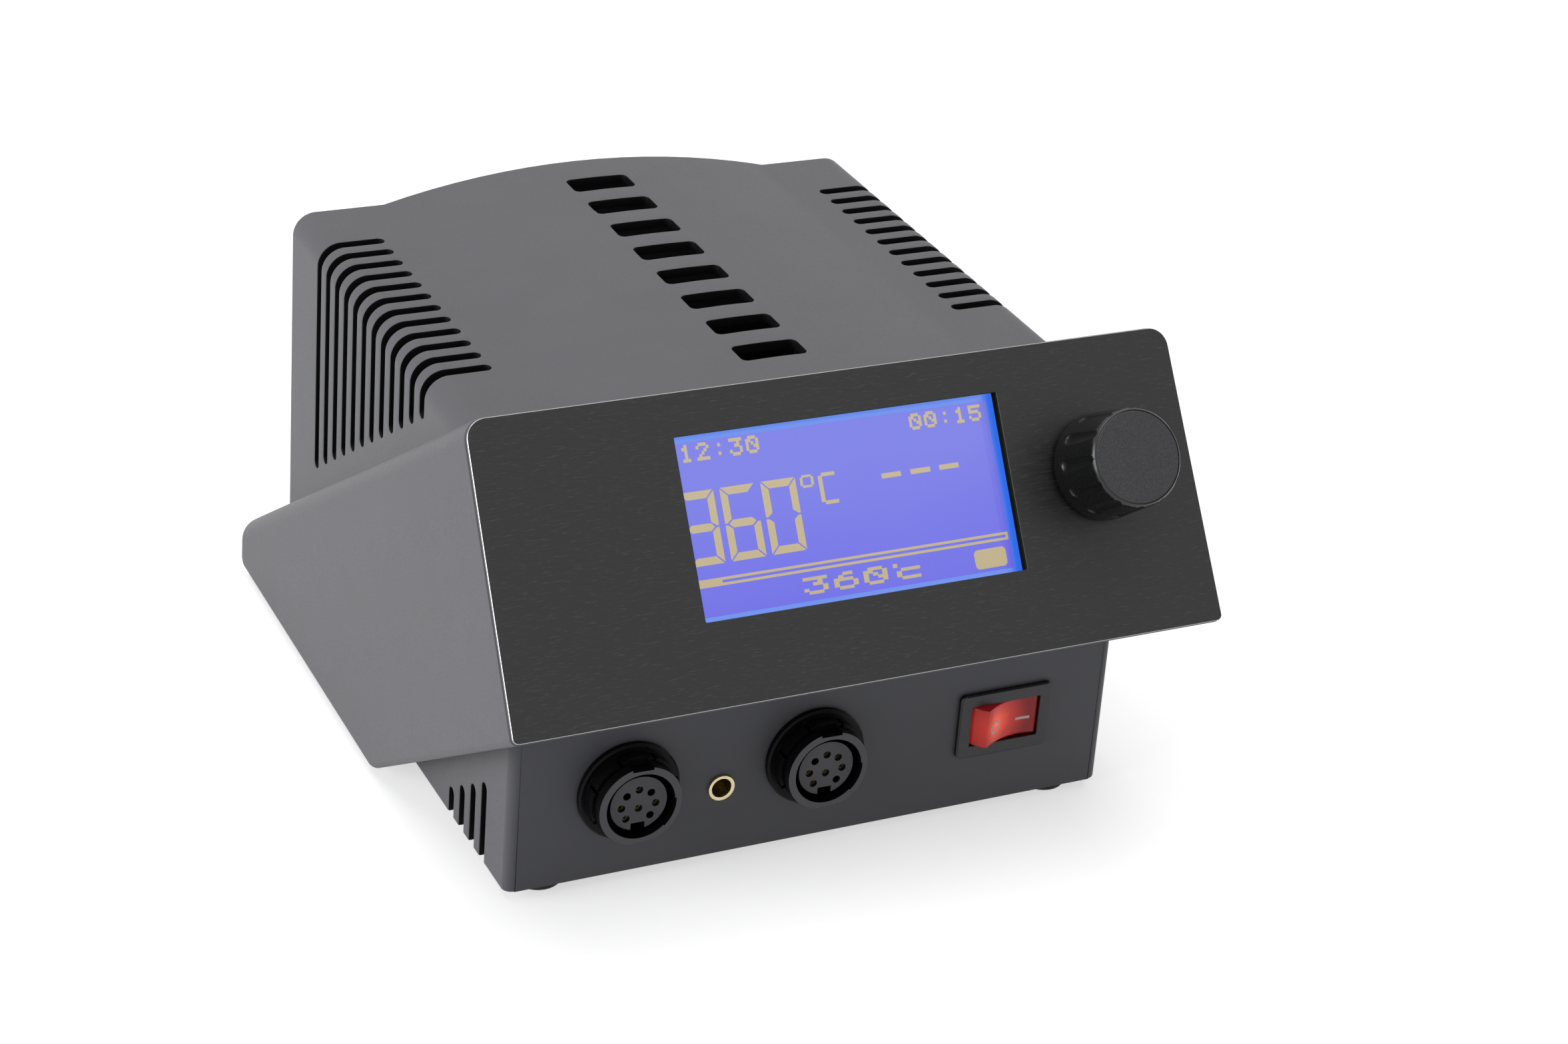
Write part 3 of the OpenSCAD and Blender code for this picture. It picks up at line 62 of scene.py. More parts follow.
ahead = Vector((math.sin(YAW) * math.cos(PITCH), math.cos(YAW) * math.cos(PITCH), -math.sin(PITCH)))
level = Vector((math.cos(YAW), -math.sin(YAW), 0))
upward = level.cross(ahead)
right = level * math.cos(ROLL) + upward * math.sin(ROLL)
top = upward * math.cos(ROLL) - level * math.sin(ROLL)
camera = bpy.data.objects.new("camera", bpy.data.cameras.new("camera"))
camera.data.lens = LENS
camera.data.sensor_width = SENSOR
camera.data.clip_end = FAR_CLIP
camera.matrix_world = Matrix((
    (right.x, top.x, -ahead.x, CAMERA_AT.x),
    (right.y, top.y, -ahead.y, CAMERA_AT.y),
    (right.z, top.z, -ahead.z, CAMERA_AT.z),
    (0, 0, 0, 1),
))
scene.collection.objects.link(camera)
scene.camera = camera

# ------------------------------------------------------------------ table
# A seamless white table. Its own colour and a little glow make it white, so the lamps
# stay at a plain level and the station's shade stays on it.
TABLE_HALF = 1.3
FLOOR_BOUNCE = (0.5, 0.51, 0.57)
FLOOR_WHITE = (0.9, 0.9, 0.9)
FLOOR_ROUGH = 0.7
FLOOR_GLOW = 2
GLOW_SHARE = 0.3


def new_finish(title):
    """A new material, with its node tree and its shader."""
    material = bpy.data.materials.new(title)
    material.use_nodes = True
    return material, material.node_tree, material.node_tree.nodes["Principled BSDF"]


def worked_out(tree, operation, *terms):
    """The result of one sum on sockets and plain numbers."""
    working = tree.nodes.new("ShaderNodeMath")
    working.operation = operation
    for socket, term in zip(working.inputs, terms):
        if isinstance(term, bpy.types.NodeSocket):
            tree.links.new(term, socket)
        else:
            socket.default_value = term
    return working.outputs[0]


def graded(tree, value, stops):
    """The colour of a value on a ramp of (place, colour) stops."""
    ramp = tree.nodes.new("ShaderNodeValToRGB")
    elements = ramp.color_ramp.elements
    for k, (at, colour) in enumerate(stops):
        stop = elements[k] if k < len(elements) else elements.new(at)
        stop.position = at
        stop.color = (*colour, 1)
    tree.links.new(value, ramp.inputs["Fac"])
    return ramp.outputs["Color"]


def looked_at(tree):
    """1 for a ray from the camera, from a mirror or through clear glass, and 0 for bounced light."""
    path = tree.nodes.new("ShaderNodeLightPath")
    straight = worked_out(tree, "ADD", path.outputs["Is Camera Ray"], path.outputs["Is Glossy Ray"])
    return worked_out(tree, "ADD", straight, path.outputs["Is Transmission Ray"])


floor_shape = bmesh.new()
bmesh.ops.create_grid(floor_shape, x_segments=1, y_segments=1, size=TABLE_HALF)
floor_mesh = bpy.data.meshes.new("table")
floor_shape.to_mesh(floor_mesh)
floor_shape.free()
table = bpy.data.objects.new("table", floor_mesh)
scene.collection.objects.link(table)

floor_paint, tree, shader = new_finish("white table")
shader.inputs["Roughness"].default_value = FLOOR_ROUGH
shader.inputs["Specular IOR Level"].default_value = 0
seen = looked_at(tree)
tree.links.new(graded(tree, seen, ((0, FLOOR_BOUNCE), (1, FLOOR_WHITE))), shader.inputs["Base Color"])
glow = tree.nodes.new("ShaderNodeEmission")
glow.inputs["Strength"].default_value = FLOOR_GLOW
mixed = tree.nodes.new("ShaderNodeMixShader")
tree.links.new(worked_out(tree, "MULTIPLY", seen, GLOW_SHARE), mixed.inputs["Fac"])
tree.links.new(shader.outputs["BSDF"], mixed.inputs[1])
tree.links.new(glow.outputs["Emission"], mixed.inputs[2])
tree.links.new(mixed.outputs["Shader"], tree.nodes["Material Output"].inputs["Surface"])
floor_mesh.materials.append(floor_paint)

# ------------------------------------------------------------------ studio light
# A large soft lamp low on the left, another overhead, and a pale room all round.
# The room looks white in polished metal and glass.
ROOM = 0.30
SIDE_POWER = 43
SIDE_SIZE = 1.6
SIDE_AT = Vector((-2.2, -0.1, 0.6))
TOP_POWER = 37
TOP_SIZE = 2.4
TOP_AT = Vector((0.0, 0.1, 2.3))
LAMPS_AIM = Vector((0, 0, 0.05))


def ranged(tree, value, source, target):
    """A value taken from one range to another."""
    scale = tree.nodes.new("ShaderNodeMapRange")
    scale.inputs["From Min"].default_value = source[0]
    scale.inputs["From Max"].default_value = source[1]
    scale.inputs["To Min"].default_value = target[0]
    scale.inputs["To Max"].default_value = target[1]
    tree.links.new(value, scale.inputs["Value"])
    return scale.outputs["Result"]


for title, power, size, place in (
        ("side", SIDE_POWER, SIDE_SIZE, SIDE_AT), ("top", TOP_POWER, TOP_SIZE, TOP_AT)):
    lamp = bpy.data.lights.new(title, "AREA")
    lamp.energy = power
    lamp.size = size
    holder = bpy.data.objects.new(title, lamp)
    holder.location = place
    holder.rotation_euler = (LAMPS_AIM - place).to_track_quat("-Z", "Y").to_euler()
    scene.collection.objects.link(holder)

world = bpy.data.worlds.new("room")
scene.world = world
world.use_nodes = True
tree = world.node_tree
room = tree.nodes["Background"]
room.inputs["Color"].default_value = (1, 1, 1, 1)
tree.links.new(ranged(tree, looked_at(tree), (0, 1), (ROOM, 1)), room.inputs["Strength"])
scene.view_settings.view_transform = "Standard"

# ------------------------------------------------------------------ cover
# The vented cover that slides over the works, moulded in dark grey plastic with a
# fine spark-eroded grain. Screws through the base tray hold it.
COAT_GREY = (0.0875, 0.0878, 0.0965)
COAT_SPEC = 0.35
COAT_ROUGH = 0.5
COAT_GRAIN = 2600
COAT_RELIEF = 0.000012
COVER_EDGE = 0.00035
SEAM_REACH = 0.0004
VENT_PAINTED_SHADE = (0.003, 0.003, 0.0033)
VENT_HALF = 0.0075
VENTS_CLEAR = 0.002
SLOT_ENDS = 0.062
ROOF_FROM = 0.03
WALL_LEAN = 0.0025
WALL_ROUND = 0.006
SQUARE_ON = 0.9
SIDEWAYS = 0.5
WELD = 0.000002
SHADE_ANGLE = math.radians(32)
NOISE_RANGE = (0.3, 0.7)
DRIFT_BREADTH = 30
SHEEN_WANDER = 0.06


def rounded_over(shape, edge, angle, segments, crisp=None):
    """Bevels a shape's edges sharper than angle degrees by edge metres, but not the crisp ones."""
    sharp = [e for e in shape.edges
             if len(e.link_faces) == 2 and e.calc_face_angle(0) > math.radians(angle)
             and not (crisp and crisp(e.verts[0].co) and crisp(e.verts[1].co))]
    bmesh.ops.bevel(shape, geom=sharp, offset=edge, offset_type="OFFSET", affect="EDGES",
                    segments=segments, profile=0.5, material=-1, clamp_overlap=False)


def shaded(shape, title):
    """The piece that a shape makes, shaded smooth except across its sharp edges."""
    for face in shape.faces:
        face.smooth = True
    mesh = bpy.data.meshes.new(title)
    shape.to_mesh(mesh)
    shape.free()
    mesh.set_sharp_from_angle(angle=SHADE_ANGLE)
    piece = bpy.data.objects.new(title, mesh)
    scene.collection.objects.link(piece)
    even = piece.modifiers.new("even shading", "WEIGHTED_NORMAL")
    even.keep_sharp = True
    return piece


def softened(node, title, edge, angle=35, segments=2, crisp=None, merge=0.4):
    """A copy of a CAD node with its sharp edges rounded over.

    Neighbouring faces less than merge degrees apart become one face first.
    """
    shape = bmesh.new()
    shape.from_mesh(frame["nodes"][node].data)
    bmesh.ops.remove_doubles(shape, verts=shape.verts, dist=WELD)
    bmesh.ops.dissolve_limit(shape, angle_limit=math.radians(merge), use_dissolve_boundaries=False,
                             verts=shape.verts, edges=shape.edges)
    if edge:
        rounded_over(shape, edge, angle, segments, crisp)
    return shaded(shape, title)


def stretched(tree, scale):
    """Places on the piece, with scale steps to a metre along each axis."""
    place = tree.nodes.new("ShaderNodeTexCoord")
    spread = tree.nodes.new("ShaderNodeMapping")
    spread.inputs["Scale"].default_value = scale
    tree.links.new(place.outputs["Object"], spread.inputs["Vector"])
    return spread.outputs["Vector"]


def clouded(tree, place, scale, detail=2):
    """A soft noise over a place, finer for a larger scale."""
    cloud = tree.nodes.new("ShaderNodeTexNoise")
    cloud.inputs["Scale"].default_value = scale
    cloud.inputs["Detail"].default_value = detail
    tree.links.new(place, cloud.inputs["Vector"])
    return cloud.outputs["Fac"]


def embossed(tree, shader, height, relief):
    """Gives a shader's surface a relief, in metres, that follows a height."""
    bump = tree.nodes.new("ShaderNodeBump")
    bump.inputs["Strength"].default_value = 1
    bump.inputs["Distance"].default_value = relief
    tree.links.new(height, bump.inputs["Height"])
    tree.links.new(bump.outputs["Normal"], shader.inputs["Normal"])


def finish(title, colour, rough, metal=0.0, drift=0.1, grain=1500, relief=0.00001, spec=0.5,
           speckle=0.3, stretch=(1, 1, 1)):
    """A finish whose colour, sheen and surface wander a little from place to place.

    drift is how far the colour wanders, and speckle the share of that from the fine grain.
    """
    material, tree, shader = new_finish(title)
    shader.inputs["Metallic"].default_value = metal
    shader.inputs["Specular IOR Level"].default_value = spec
    place = stretched(tree, stretch)
    broad = clouded(tree, place, grain / DRIFT_BREADTH, detail=4)
    fine = clouded(tree, place, grain, detail=3)
    blend = worked_out(tree, "MULTIPLY_ADD", fine, speckle,
                       worked_out(tree, "MULTIPLY", broad, 1 - speckle))
    shades = [[c * (1 + way * drift) for c in colour] for way in (-1, 1)]
    tree.links.new(graded(tree, blend, zip(NOISE_RANGE, shades)), shader.inputs["Base Color"])
    sheen = ranged(tree, fine, NOISE_RANGE, (rough - SHEEN_WANDER, rough + SHEEN_WANDER))
    tree.links.new(sheen, shader.inputs["Roughness"])
    embossed(tree, shader, fine, relief)
    return material


def dressed(node, title, edge, material, body="housing", **rounding):
    """Stands a softened, finished copy in for a CAD node, in the node's own material slot."""
    piece = softened(node, title, edge, **rounding)
    piece.data.materials.append(material)
    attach(piece, body)
    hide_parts(node)
    return piece


coat = finish("grained grey coat", COAT_GREY, rough=COAT_ROUGH, drift=0.05, grain=COAT_GRAIN,
              relief=COAT_RELIEF, spec=COAT_SPEC)
cover_low, cover_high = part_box("cover")
seam_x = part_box("base_tray")[1].x + SEAM_REACH
seam_y = cover_low.y + SEAM_REACH
cover = dressed("cover", "vented-cover", COVER_EDGE, coat,
                crisp=lambda at: abs(at.x) < seam_x and at.y < seam_y, merge=0.02)
# Faces inside the vents and slots take a near-black second finish: painted shade where light does not
# reach into them.
cover.data.materials.append(finish(
    "shaded vent walls", VENT_PAINTED_SHADE, rough=0.6, grain=COAT_GRAIN, relief=0.000004, spec=0.1))
wall_foot = cover_high.x - WALL_LEAN
shoulder = max(v.co.z for v in cover.data.vertices if abs(v.co.x) > wall_foot) - WALL_ROUND
for face in cover.data.polygons:
    at = face.center
    out = abs(at.x)
    upright = abs(face.normal.z) < SIDEWAYS
    between_ends = cover_low.y + VENTS_CLEAR < at.y < cover_high.y - VENTS_CLEAR
    up_the_wall = cover_low.z + VENTS_CLEAR < at.z < shoulder
    vent = upright and out < VENT_HALF
    slot = abs(face.normal.y) > SQUARE_ON and out > VENT_HALF
    upper_end = upright and VENT_HALF < out < SLOT_ENDS and at.z > cover_low.z + ROOF_FROM
    lower_end = abs(face.normal.x) < SIDEWAYS and out > wall_foot - VENTS_CLEAR and up_the_wall
    face.material_index = 1 if between_ends and (vent or slot or upper_end or lower_end) else 0

# ------------------------------------------------------------------ hood
# The wedge-shaped hood that carries the controls, moulded in the same grained grey
# plastic. Its wings clasp the cover and are screwed to it from inside.
PANEL_TILT = math.radians(33)
HOOD_EDGE = 0.0003
OPENING_PAINTED_SHADE = (0.002, 0.002, 0.0022)
OPENING_SHADE_REACH = 0.0012
OFF_SLOPE = 0.2

hood = dressed("hood", "front-hood", HOOD_EDGE, coat)
# Faces of the window opening's walls take a near-black second finish: painted shade inside the
# opening.
hood.data.materials.append(finish(
    "painted shade in window opening", OPENING_PAINTED_SHADE, rough=0.6, grain=1500, relief=0.000004, spec=0.2))
opening_low, opening_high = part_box("display_glass")
for face in hood.data.polygons:
    in_opening = all(low - OPENING_SHADE_REACH < at < high + OPENING_SHADE_REACH
                     for low, at, high in zip(opening_low, face.center, opening_high))
    off_slope = abs(face.normal.y + math.cos(PANEL_TILT)) > OFF_SLOPE
    face.material_index = 1 if in_opening and off_slope else 0

# ------------------------------------------------------------------ base tray and rear panel
# The tray that closes the station from below and in front, and the panel that closes
# it behind, in the grained grey plastic. The ends of the tray's front are spread by a
# hair, which closes their seam with the cover.
TRAY_EDGE = 0.00006
REAR_EDGE = 0.0002
SEAM_CLOSE = 0.00013
CORNER_WALL = 0.0006
CORNER_RUN = 0.004

tray = dressed("base_tray", "base-tray", TRAY_EDGE, coat)
tray_low, tray_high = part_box("base_tray")
for point in tray.data.vertices:
    if abs(point.co.x) > tray_high.x - CORNER_WALL and point.co.y < tray_low.y + CORNER_RUN:
        point.co.x += math.copysign(SEAM_CLOSE, point.co.x)
dressed("rear_panel", "rear-panel", REAR_EDGE, coat)

# ------------------------------------------------------------------ control panel
# A sheet of aluminium, brushed sideways and anodised black, glued on the hood's face.
# Its outline is milled after anodising, so the cut edges are bare bright metal.
PLATE_BLACK = (0.0065, 0.0065, 0.0068)
PLATE_ROUGH = (0.36, 0.5)
PLATE_SPEC = 0.5
PLATE_RELIEF = 0.000004
PLATE_EDGE = 0.0001
BARE_METAL = (0.42, 0.42, 0.43)
BARE_FROM = 0.3
STREAK = (90, 4600, 4600)
FLECK = (450, 4200, 4200)
FLECK_RANGE = (0.57, 0.72)
FLECK_SHADES = (0.8, 4.5)
WINDOW_HALF = 0.036
WINDOW_RISE = (0.01, 0.055)

panel_out = Vector((0, -math.cos(PANEL_TILT), math.sin(PANEL_TILT)))
panel_up = Vector((0, math.sin(PANEL_TILT), math.cos(PANEL_TILT)))

anodised, tree, shader = new_finish("brushed black anodising")
shader.inputs["Specular IOR Level"].default_value = PLATE_SPEC
streaks = clouded(tree, stretched(tree, STREAK), 1, detail=3)
flecks = clouded(tree, stretched(tree, FLECK), 1, detail=3)
shades = [[share * c for c in PLATE_BLACK] for share in FLECK_SHADES]
tree.links.new(graded(tree, flecks, zip(FLECK_RANGE, shades)), shader.inputs["Base Color"])
tree.links.new(ranged(tree, streaks, NOISE_RANGE, PLATE_ROUGH), shader.inputs["Roughness"])
embossed(tree, shader, streaks, PLATE_RELIEF)

bare = finish("bare cut aluminium", BARE_METAL, rough=0.32, metal=1.0, drift=0.08, grain=3000,
              relief=0.000002, stretch=(0.2, 1, 1))

plate_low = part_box("control_panel")[0]
plate_foot = Vector((0, plate_low.y, plate_low.z))
plate = dressed("control_panel", "control-panel", PLATE_EDGE, anodised, segments=1)
plate.data.materials.append(bare)
plate.data.materials.append(coat)
for face in plate.data.polygons:
    tilt = face.normal.dot(panel_out)
    rise = (face.center - plate_foot).dot(panel_up)
    by_window = abs(face.center.x) < WINDOW_HALF and WINDOW_RISE[0] < rise < WINDOW_RISE[1]
    if by_window or abs(tilt) > SQUARE_ON:
        face.material_index = 0
    else:
        face.material_index = 1 if tilt > BARE_FROM else 2

# ------------------------------------------------------------------ display glass
# The clear window, a sheet of polished acrylic clamped behind the opening. A little
# dust leaves a haze on it here and there.
GLASS_EDGE = 0.0002
GLASS_CLEAR = (0.96, 0.97, 1, 1)
GLASS_BENDING = 1.33
DUST_GRAIN = 260
DUST_RANGE = (0.45, 0.8)
HAZE = 0.05


def seen_alone(piece):
    """Keeps a piece out of the reflections and the light on its neighbours."""
    piece.visible_diffuse = False
    piece.visible_glossy = False


clear, tree, shader = new_finish("clear acrylic")
shader.inputs["Base Color"].default_value = GLASS_CLEAR
shader.inputs["Transmission Weight"].default_value = 1
shader.inputs["IOR"].default_value = GLASS_BENDING
place = tree.nodes.new("ShaderNodeTexCoord")
dust = clouded(tree, place.outputs["Object"], DUST_GRAIN, detail=6)
tree.links.new(ranged(tree, dust, DUST_RANGE, (0, HAZE)), shader.inputs["Roughness"])

pane = dressed("display_glass", "display-glass", GLASS_EDGE, clear)
seen_alone(pane)

# ------------------------------------------------------------------ display cell
# The graphic display behind the window: a blue backlit cell of 128 by 64 dots. Pale
# dots draw the tip's temperature, the set temperature, a power bar and plain numbers.
COLUMNS = 128
ROWS = 64
DOT = 0.0005195
CELL_DEEP = 0.00535
CELL_EDGE = 0.0002
CELL_DARK = (0.01, 0.01, 0.02, 1)
CLOUD_SHARE = 0.25
GLOW_RANGE = (0.1, 1.0)
ACTIVE_BLUE = (0.198, 0.211, 0.78)
ACTIVE_LOW = (0.14, 0.135, 0.78)
BORDER_PALE = (0.15, 0.28, 0.84)
BORDER_BLUE = (0.03, 0.16, 0.84)
BORDER_CLOUDS = 60
BORDER_FROM = 127.5
BORDER_TO = 131.5
FIELD_CLOUDS = 45
FIELD_WIDE = 129.5
FIELD_LIFT = 0.00003
FIELD_DOWN = 0.016
FIELD_UP = 0.012
DOT_CREAM = (0.53, 0.43, 0.235)
DOT_PALE = (0.58, 0.48, 0.28)
DOT_CLOUDS = 120
DOT_LIFT = 0.00006
DOTS_HALF = 0.016
BIG_DIGITS = ((-0.6, "abgcd"), (15.9, "afgecd"), (32.3, "abcdef"))
BIG_TOP = 18.0
BIG_W = 14.1
BIG_H = 27.2
BIG_T = 2.9
STROKE_GAP = 0.35
STROKE_TIP = 1.0
MIDDLE_TIP = 1.3
DEGREE_RING = ((49, 17.9, 52.9, 18.8), (49, 21.7, 52.9, 22.6), (48.2, 18.7, 49.3, 21.8),
               (52.6, 18.7, 53.7, 21.8))
CELSIUS = ((57, 18, 62.5, 19.4), (57, 28.4, 62.5, 29.8), (55.5, 19, 57.2, 28.8))
DASHES = ((81.3, 21.6, 89.4, 23.5), (93.4, 21.6, 101.7, 23.5), (105.5, 21.6, 113.7, 23.5))
POWER_BAR = ((0, 50.2, 129, 51.2), (0, 52.2, 129, 53.2), (128, 51.1, 129, 52.3), (0, 51.1, 11, 52.3))
SMALL_DEGREE = ((79.4, 55.5, 81.2, 57),)
SET_SIGNS = ((42.4, "3"), (54.8, "6"), (67, "0"), (80.6, "c"))
SET_TOP = 55.4
SMALL_FONT = {
    "0": ("01110", "11001", "10101", "10011", "10001", "01110"),
    "1": ("00100", "01100", "00100", "00100", "00100", "01110"),
    "2": ("01110", "10001", "00010", "00100", "01000", "11111"),
    "3": ("11111", "00010", "00110", "00001", "10001", "01110"),
    "5": ("11111", "10000", "11110", "00001", "10001", "01110"),
    "6": ("00110", "01000", "11110", "10001", "10001", "01110"),
    "c": ("00000", "00000", "01111", "10000", "10000", "01111"),
    ":": ("00000", "00100", "00000", "00000", "00100", "00000"),
}
BLEED_WIDE = 0.08
BLEED_TALL = 0.1
BADGE_X = 120.2
BADGE_Y = 59.05
BADGE_LONG = 4.9
BADGE_TALL = 1.8
BADGE_ROUND = 1.9
BADGE_STEPS = 24


def joint_at(name):
    """The place of a joint at rest."""
    return Vector(next(joint for joint in frame["joints"] if joint["name"] == name)["pos_m"])


knob_at = joint_at("knob_turn")
middle = Vector((0, knob_at.y, knob_at.z)) - panel_out * CELL_DEEP


def on_cell(x, y, lift):
    """A point of the cell in dots from the picture's upper left corner, lift metres off its face."""
    across = Vector((1, 0, 0)) * (x - COLUMNS / 2) * DOT
    return middle + across + panel_up * (ROWS / 2 - y) * DOT + panel_out * lift


def flat(title, outlines, place):
    """A piece made of flat outlines; place turns a corner into a point."""
    shape = bmesh.new()
    for outline in outlines:
        shape.faces.new([shape.verts.new(place(*corner)) for corner in outline])
    mesh = bpy.data.meshes.new(title)
    shape.to_mesh(mesh)
    shape.free()
    piece = bpy.data.objects.new(title, mesh)
    scene.collection.objects.link(piece)
    return piece


def lit(title, near, far, scale, start, end, axis="Z"):
    """A glow that goes from near to far between start and end on an axis, with faint clouds."""
    material, tree, shader = new_finish(title)
    shader.inputs["Base Color"].default_value = CELL_DARK
    shader.inputs["Roughness"].default_value = 0.5
    shader.inputs["Specular IOR Level"].default_value = 0.1
    shader.inputs["Emission Strength"].default_value = 1
    place = tree.nodes.new("ShaderNodeTexCoord")
    parts = tree.nodes.new("ShaderNodeSeparateXYZ")
    tree.links.new(place.outputs["Object"], parts.inputs["Vector"])
    along = ranged(tree, parts.outputs[axis], (start, end), (0, 1))
    cloud = clouded(tree, place.outputs["Object"], scale)
    blend = worked_out(tree, "MULTIPLY_ADD", cloud, CLOUD_SHARE, along)
    tree.links.new(graded(tree, blend, zip(GLOW_RANGE, (near, far))), shader.inputs["Emission Color"])
    return material


cell = dressed("display_backlight", "display-cell", CELL_EDGE, lit(
    "lit border", BORDER_PALE, BORDER_BLUE, BORDER_CLOUDS,
    on_cell(BORDER_FROM, ROWS / 2, 0).x, on_cell(BORDER_TO, ROWS / 2, 0).x, axis="X"))
seen_alone(cell)

field = flat("display-field", [((0, 0), (0, ROWS), (FIELD_WIDE, ROWS), (FIELD_WIDE, 0))],
             lambda x, y: on_cell(x, y, FIELD_LIFT))
seen_alone(field)
field.data.materials.append(lit(
    "lit field", ACTIVE_LOW, ACTIVE_BLUE, FIELD_CLOUDS, middle.z - FIELD_DOWN, middle.z + FIELD_UP))
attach(field, "housing")

strokes = []


def bar(x1, y1, x2, y2):
    """One filled rectangle of dots."""
    strokes.append(((x1, y1), (x1, y2), (x2, y2), (x2, y1)))


def numeral(x, y, w, h, t, parts):
    """A numeral of up to seven mitred strokes, t dots thick, with small gaps between them."""
    g = STROKE_GAP
    tip = STROKE_TIP
    nose = MIDDLE_TIP + STROKE_GAP
    m = y + h / 2
    far = x + w
    foot = y + h
    shapes = {
        "a": ((x + g, y), (x + t + g, y + t), (far - t - g, y + t), (far - g, y)),
        "b": ((far - t, y + t + g), (far - t, m - t / 2 - g), (far - tip, m - g), (far, m - g),
              (far, y + g)),
        "c": ((far - t, m + t / 2 + g), (far - t, foot - t - g), (far, foot - g), (far, m + g),
              (far - tip, m + g)),
        "d": ((x + t + g, foot - t), (x + g, foot), (far - g, foot), (far - t - g, foot - t)),
        "e": ((x, m + g), (x, foot - g), (x + t, foot - t - g), (x + t, m + t / 2 + g),
              (x + tip, m + g)),
        "f": ((x, y + g), (x, m - g), (x + tip, m - g), (x + t, m - t / 2 - g), (x + t, y + t + g)),
        "g": ((x + nose, m), (x + t + g, m + t / 2), (far - t - g, m + t / 2), (far - nose, m),
              (far - t - g, m - t / 2), (x + t + g, m - t / 2)),
    }
    for part in parts:
        strokes.append(shapes[part])


def words(text, x, y, wide, tall, pitch):
    """Dot characters of SMALL_FONT, wide and tall dots to a column and a row."""
    for sign in text:
        for row, line in enumerate(SMALL_FONT[sign]):
            col = 0
            while col < len(line):
                run = len(line[col:]) - len(line[col:].lstrip("1"))
                if run:
                    bar(x + col * wide - BLEED_WIDE, y + row * tall - BLEED_TALL,
                        x + (col + run) * wide + BLEED_WIDE, y + (row + 1) * tall + BLEED_TALL)
                col += run + 1
        x += pitch


for x, parts in BIG_DIGITS:
    numeral(x, BIG_TOP, BIG_W, BIG_H, BIG_T, parts)
for corners in DEGREE_RING + CELSIUS + DASHES + POWER_BAR + SMALL_DEGREE:
    bar(*corners)
for x, sign in SET_SIGNS:
    words(sign, x, SET_TOP, wide=1.95, tall=1.03, pitch=0)
words("12:30", x=3.0, y=0.8, wide=1, tall=1.05, pitch=6.6)
words("00:15", x=96.5, y=1.2, wide=1, tall=0.98, pitch=6.3)
badge = []
for k in range(BADGE_STEPS):
    turn = math.tau * k / BADGE_STEPS
    badge.append((BADGE_X + math.copysign(BADGE_LONG, math.cos(turn)) + BADGE_ROUND * math.cos(turn),
                  BADGE_Y - math.copysign(BADGE_TALL, math.sin(turn)) - BADGE_ROUND * math.sin(turn)))
strokes.append(tuple(badge))

dots = flat("display-dots", strokes, lambda x, y: on_cell(x, y, DOT_LIFT))
for face in dots.data.polygons:
    if face.normal.dot(panel_out) < 0:
        face.flip()
seen_alone(dots)
dots.data.materials.append(lit(
    "pale dots", DOT_CREAM, DOT_PALE, DOT_CLOUDS, middle.z - DOTS_HALF, middle.z + DOTS_HALF))
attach(dots, "housing")

# ------------------------------------------------------------------ knob
# The turn-and-press knob, moulded in black plastic with twelve shallow finger flutes
# round its skirt. A turned cap with a fine grain closes its front.
KNOB_BLACK = (0.0032, 0.0032, 0.0035)
KNOB_EDGE = 0.00012
CAP_GREY_AND_SHEEN = (0.0235, 0.0237, 0.0265)
CAP_EDGE = 0.00006

gloss = finish("black knob plastic", KNOB_BLACK, rough=0.3, grain=1800, relief=0.000002)
dressed("knob", "control-knob", KNOB_EDGE, gloss, body="knob", angle=30)
# The cap is grained matt plastic, and its lighter grey than the knob is partly a painted sheen, the
# room's reflection put into its colour.
grained = finish("grained cap with painted sheen", CAP_GREY_AND_SHEEN, rough=0.48, drift=0.8, grain=3000, relief=0.00005,
                 speckle=0.95)
dressed("knob_cap", "knob-cap", CAP_EDGE, grained, body="knob")

# ------------------------------------------------------------------ tool sockets
# Two round eight-pole tool sockets, glass-filled black plastic, put in from the front
# and held by nuts. Gilt brass contacts stand in most holes of a matt insert.
SOCKET_BLACK = (0.0032, 0.0032, 0.0035)
SOCKET_FACE_SHEEN = (0.066, 0.066, 0.072)
INSERT_GREY = (0.06, 0.06, 0.065)
GILT = (0.86, 0.68, 0.38)
SOCKET_EDGE = 0.00005
INSERT_EDGE = 0.00005
FACE_DEPTH = 0.0004
TO_THE_FRONT = -0.95
MOSTLY_FRONT = -0.5

shell = dressed("socket_shells", "socket-shells", SOCKET_EDGE, finish(
    "black socket plastic", SOCKET_BLACK, rough=0.3, grain=2200, relief=0.0000005, spec=0.1))
# The ring face at the mouth takes a lighter matt grey: the matt face is real, its lighter grey a
# painted reflection of the room in front.
shell.data.materials.append(finish(
    "matt socket face with painted sheen", SOCKET_FACE_SHEEN, rough=0.6, grain=3600, relief=0.000012))
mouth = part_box("socket_shells")[0].y
for face in shell.data.polygons:
    on_face = face.normal.y < TO_THE_FRONT and face.center.y < mouth + FACE_DEPTH
    face.material_index = 1 if on_face else 0
insert = dressed("socket_inserts", "socket-inserts", INSERT_EDGE, finish(
    "matt insert plastic", INSERT_GREY, rough=0.62, drift=0.3, grain=3600, relief=0.000012))
